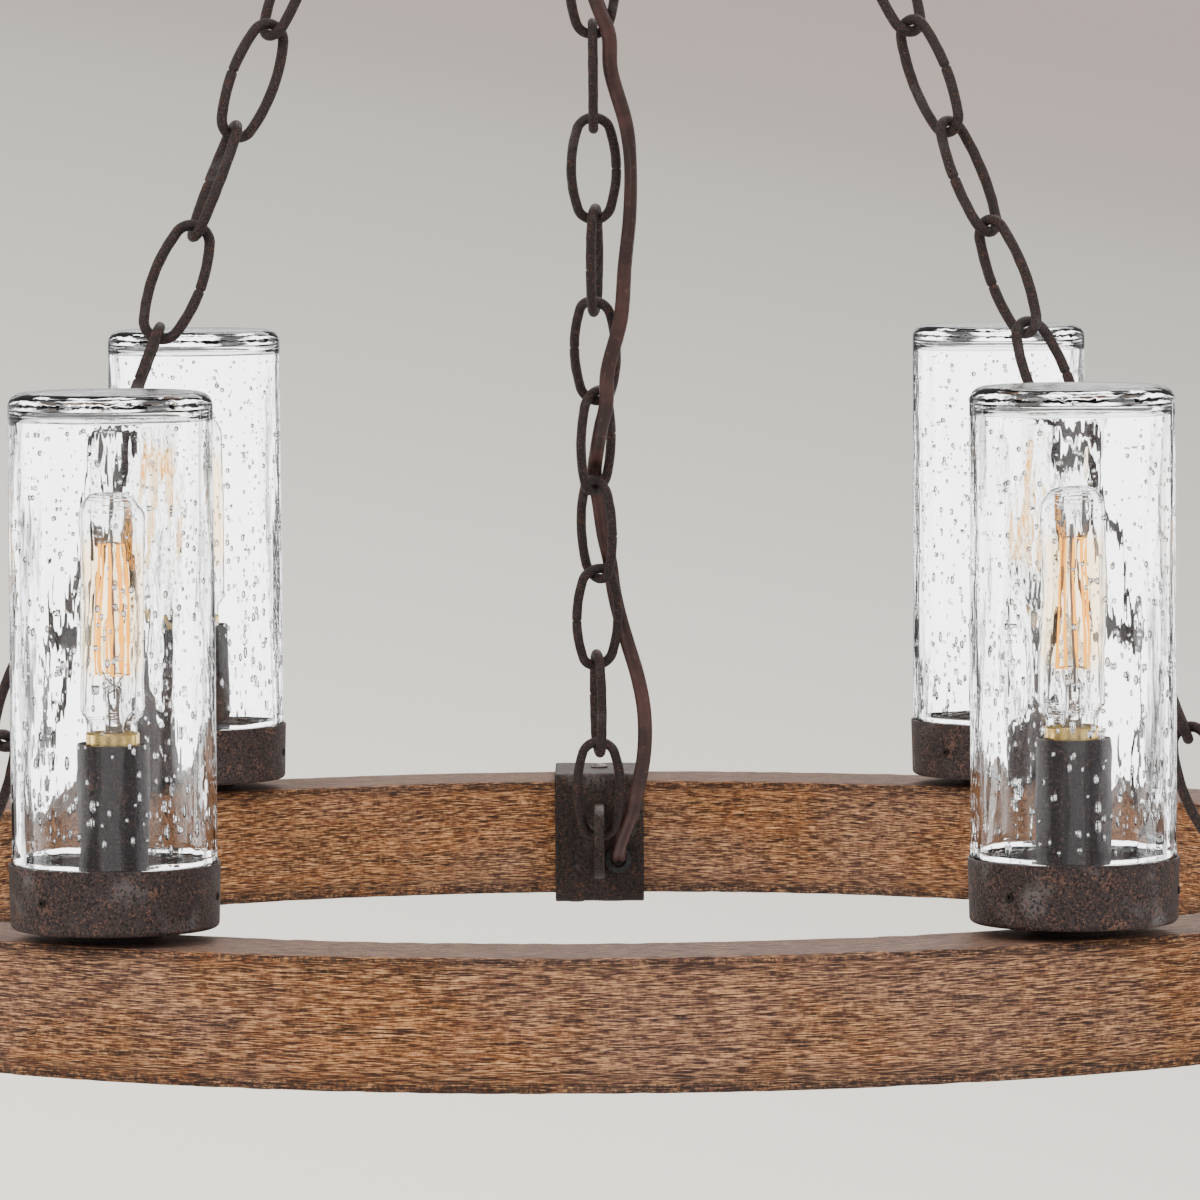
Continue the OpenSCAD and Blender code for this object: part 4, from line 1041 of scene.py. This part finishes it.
# Painted light where the wall is seen: it glows brighter lower down and a little to the left.
seen_high, seen_wide, seen_top = 4.75, 4.76, -0.53
down = scaled(tree, part[2], -1 / seen_high, seen_top / seen_high)
slant = scaled(tree, part[0], -0.2 / seen_wide, calc(tree, "SUBTRACT", down, 0.1))
fade = node(tree, "ValToRGB", Fac=scaled(tree, slant, 0.952, 0.143))
fade.color_ramp.interpolation = "B_SPLINE"
stops, brightest = fade.color_ramp.elements, 2.5
tones = ((0.0, (0.60, 0.475, 0.44)), (0.12, (0.65, 0.555, 0.51)), (0.18, (0.71, 0.69, 0.62)),
         (0.33, (0.93, 0.895, 0.80)), (0.49, (1.08, 1.05, 0.95)), (0.78, (1.60, 1.53, 1.37)),
         (1.0, (2.00, 1.90, 1.68)))
for at, tone in tones:
    stop = stops[0] if at == 0 else stops[len(stops) - 1] if at == 1 else stops.new(at)
    stop.position, stop.color = at, (*[c / brightest for c in tone], 1)
fade = tint(tree, 1.0, fade.outputs["Color"], (*[brightest] * 3, 1), "MULTIPLY")
path = node(tree, "LightPath").outputs
x_squared = times(tree, part[0], part[0])
y_squared = times(tree, part[1], part[1])
cos_twice = calc(tree, "DIVIDE", calc(tree, "SUBTRACT", x_squared, y_squared),
                 calc(tree, "ADD", x_squared, y_squared))
cos_four = scaled(tree, times(tree, cos_twice, cos_twice), 2.0, -1.0)
screens = step(tree, calc(tree, "ABSOLUTE", cos_four), 0.40, 0.72)
screens = times(tree, screens, step(tree, part[2], 7.0, 3.5))
gap, near_white, far_white = (0.08, 0.08, 0.08, 1), (1.0, 1.0, 1.0, 1), (5.4, 5.4, 5.4, 1)
white = tint(tree, step(tree, part[1], -4.0, 4.0), near_white, far_white)
seen_through = tint(tree, screens, gap, white)
mirrored = tint(tree, screens, (0.15, 0.15, 0.15, 1), (0.55, 0.55, 0.55, 1))
look = tint(tree, path["Is Singular Ray"], (0.80, 0.79, 0.77, 1), mirrored)
look = tint(tree, path["Is Camera Ray"], look, fade)
through_glass = calc(tree, "GREATER_THAN", path["Transmission Depth"], 0.5)
look = tint(tree, through_glass, look, seen_through)
feed(tree, shader.inputs["Emission Color"], look)
bowl.data.materials.append(painted_wall_glow)

world = bpy.data.worlds.new("soft room")
world.use_nodes = True
bpy.context.scene.world = world
tree = world.node_tree
path = node(tree, "LightPath").outputs
through_glass = calc(tree, "GREATER_THAN", path["Transmission Depth"], 0.5)
sharp = calc(tree, "MAXIMUM", path["Is Singular Ray"], through_glass)
feed(tree, tree.nodes["Background"].inputs["Color"],
     tint(tree, sharp, (1.0, 0.985, 0.965, 1), (0.22, 0.22, 0.22, 1)))


def soft_lamp(name, place, size, power, tone):
    """A large square lamp that faces the middle of the chandelier."""
    lamp = bpy.data.lights.new(name, "AREA")
    lamp.size, lamp.energy, lamp.color = size, power, tone
    holder = bpy.data.objects.new(name, lamp)
    holder.location = place
    towards = Vector((0, 0, -0.8)) - Vector(place)
    holder.rotation_euler = towards.to_track_quat("-Z", "Y").to_euler()
    bpy.context.scene.collection.objects.link(holder)


soft_lamp("key", (-3.2, -3.4, 2.2), 2.6, 150, (1.0, 0.97, 0.93))
soft_lamp("fill", (3.6, -2.6, 0.6), 2.4, 60, (0.95, 0.97, 1.0))
soft_lamp("back", (1.0, 4.2, 2.4), 2.6, 90, (1.0, 0.98, 0.95))
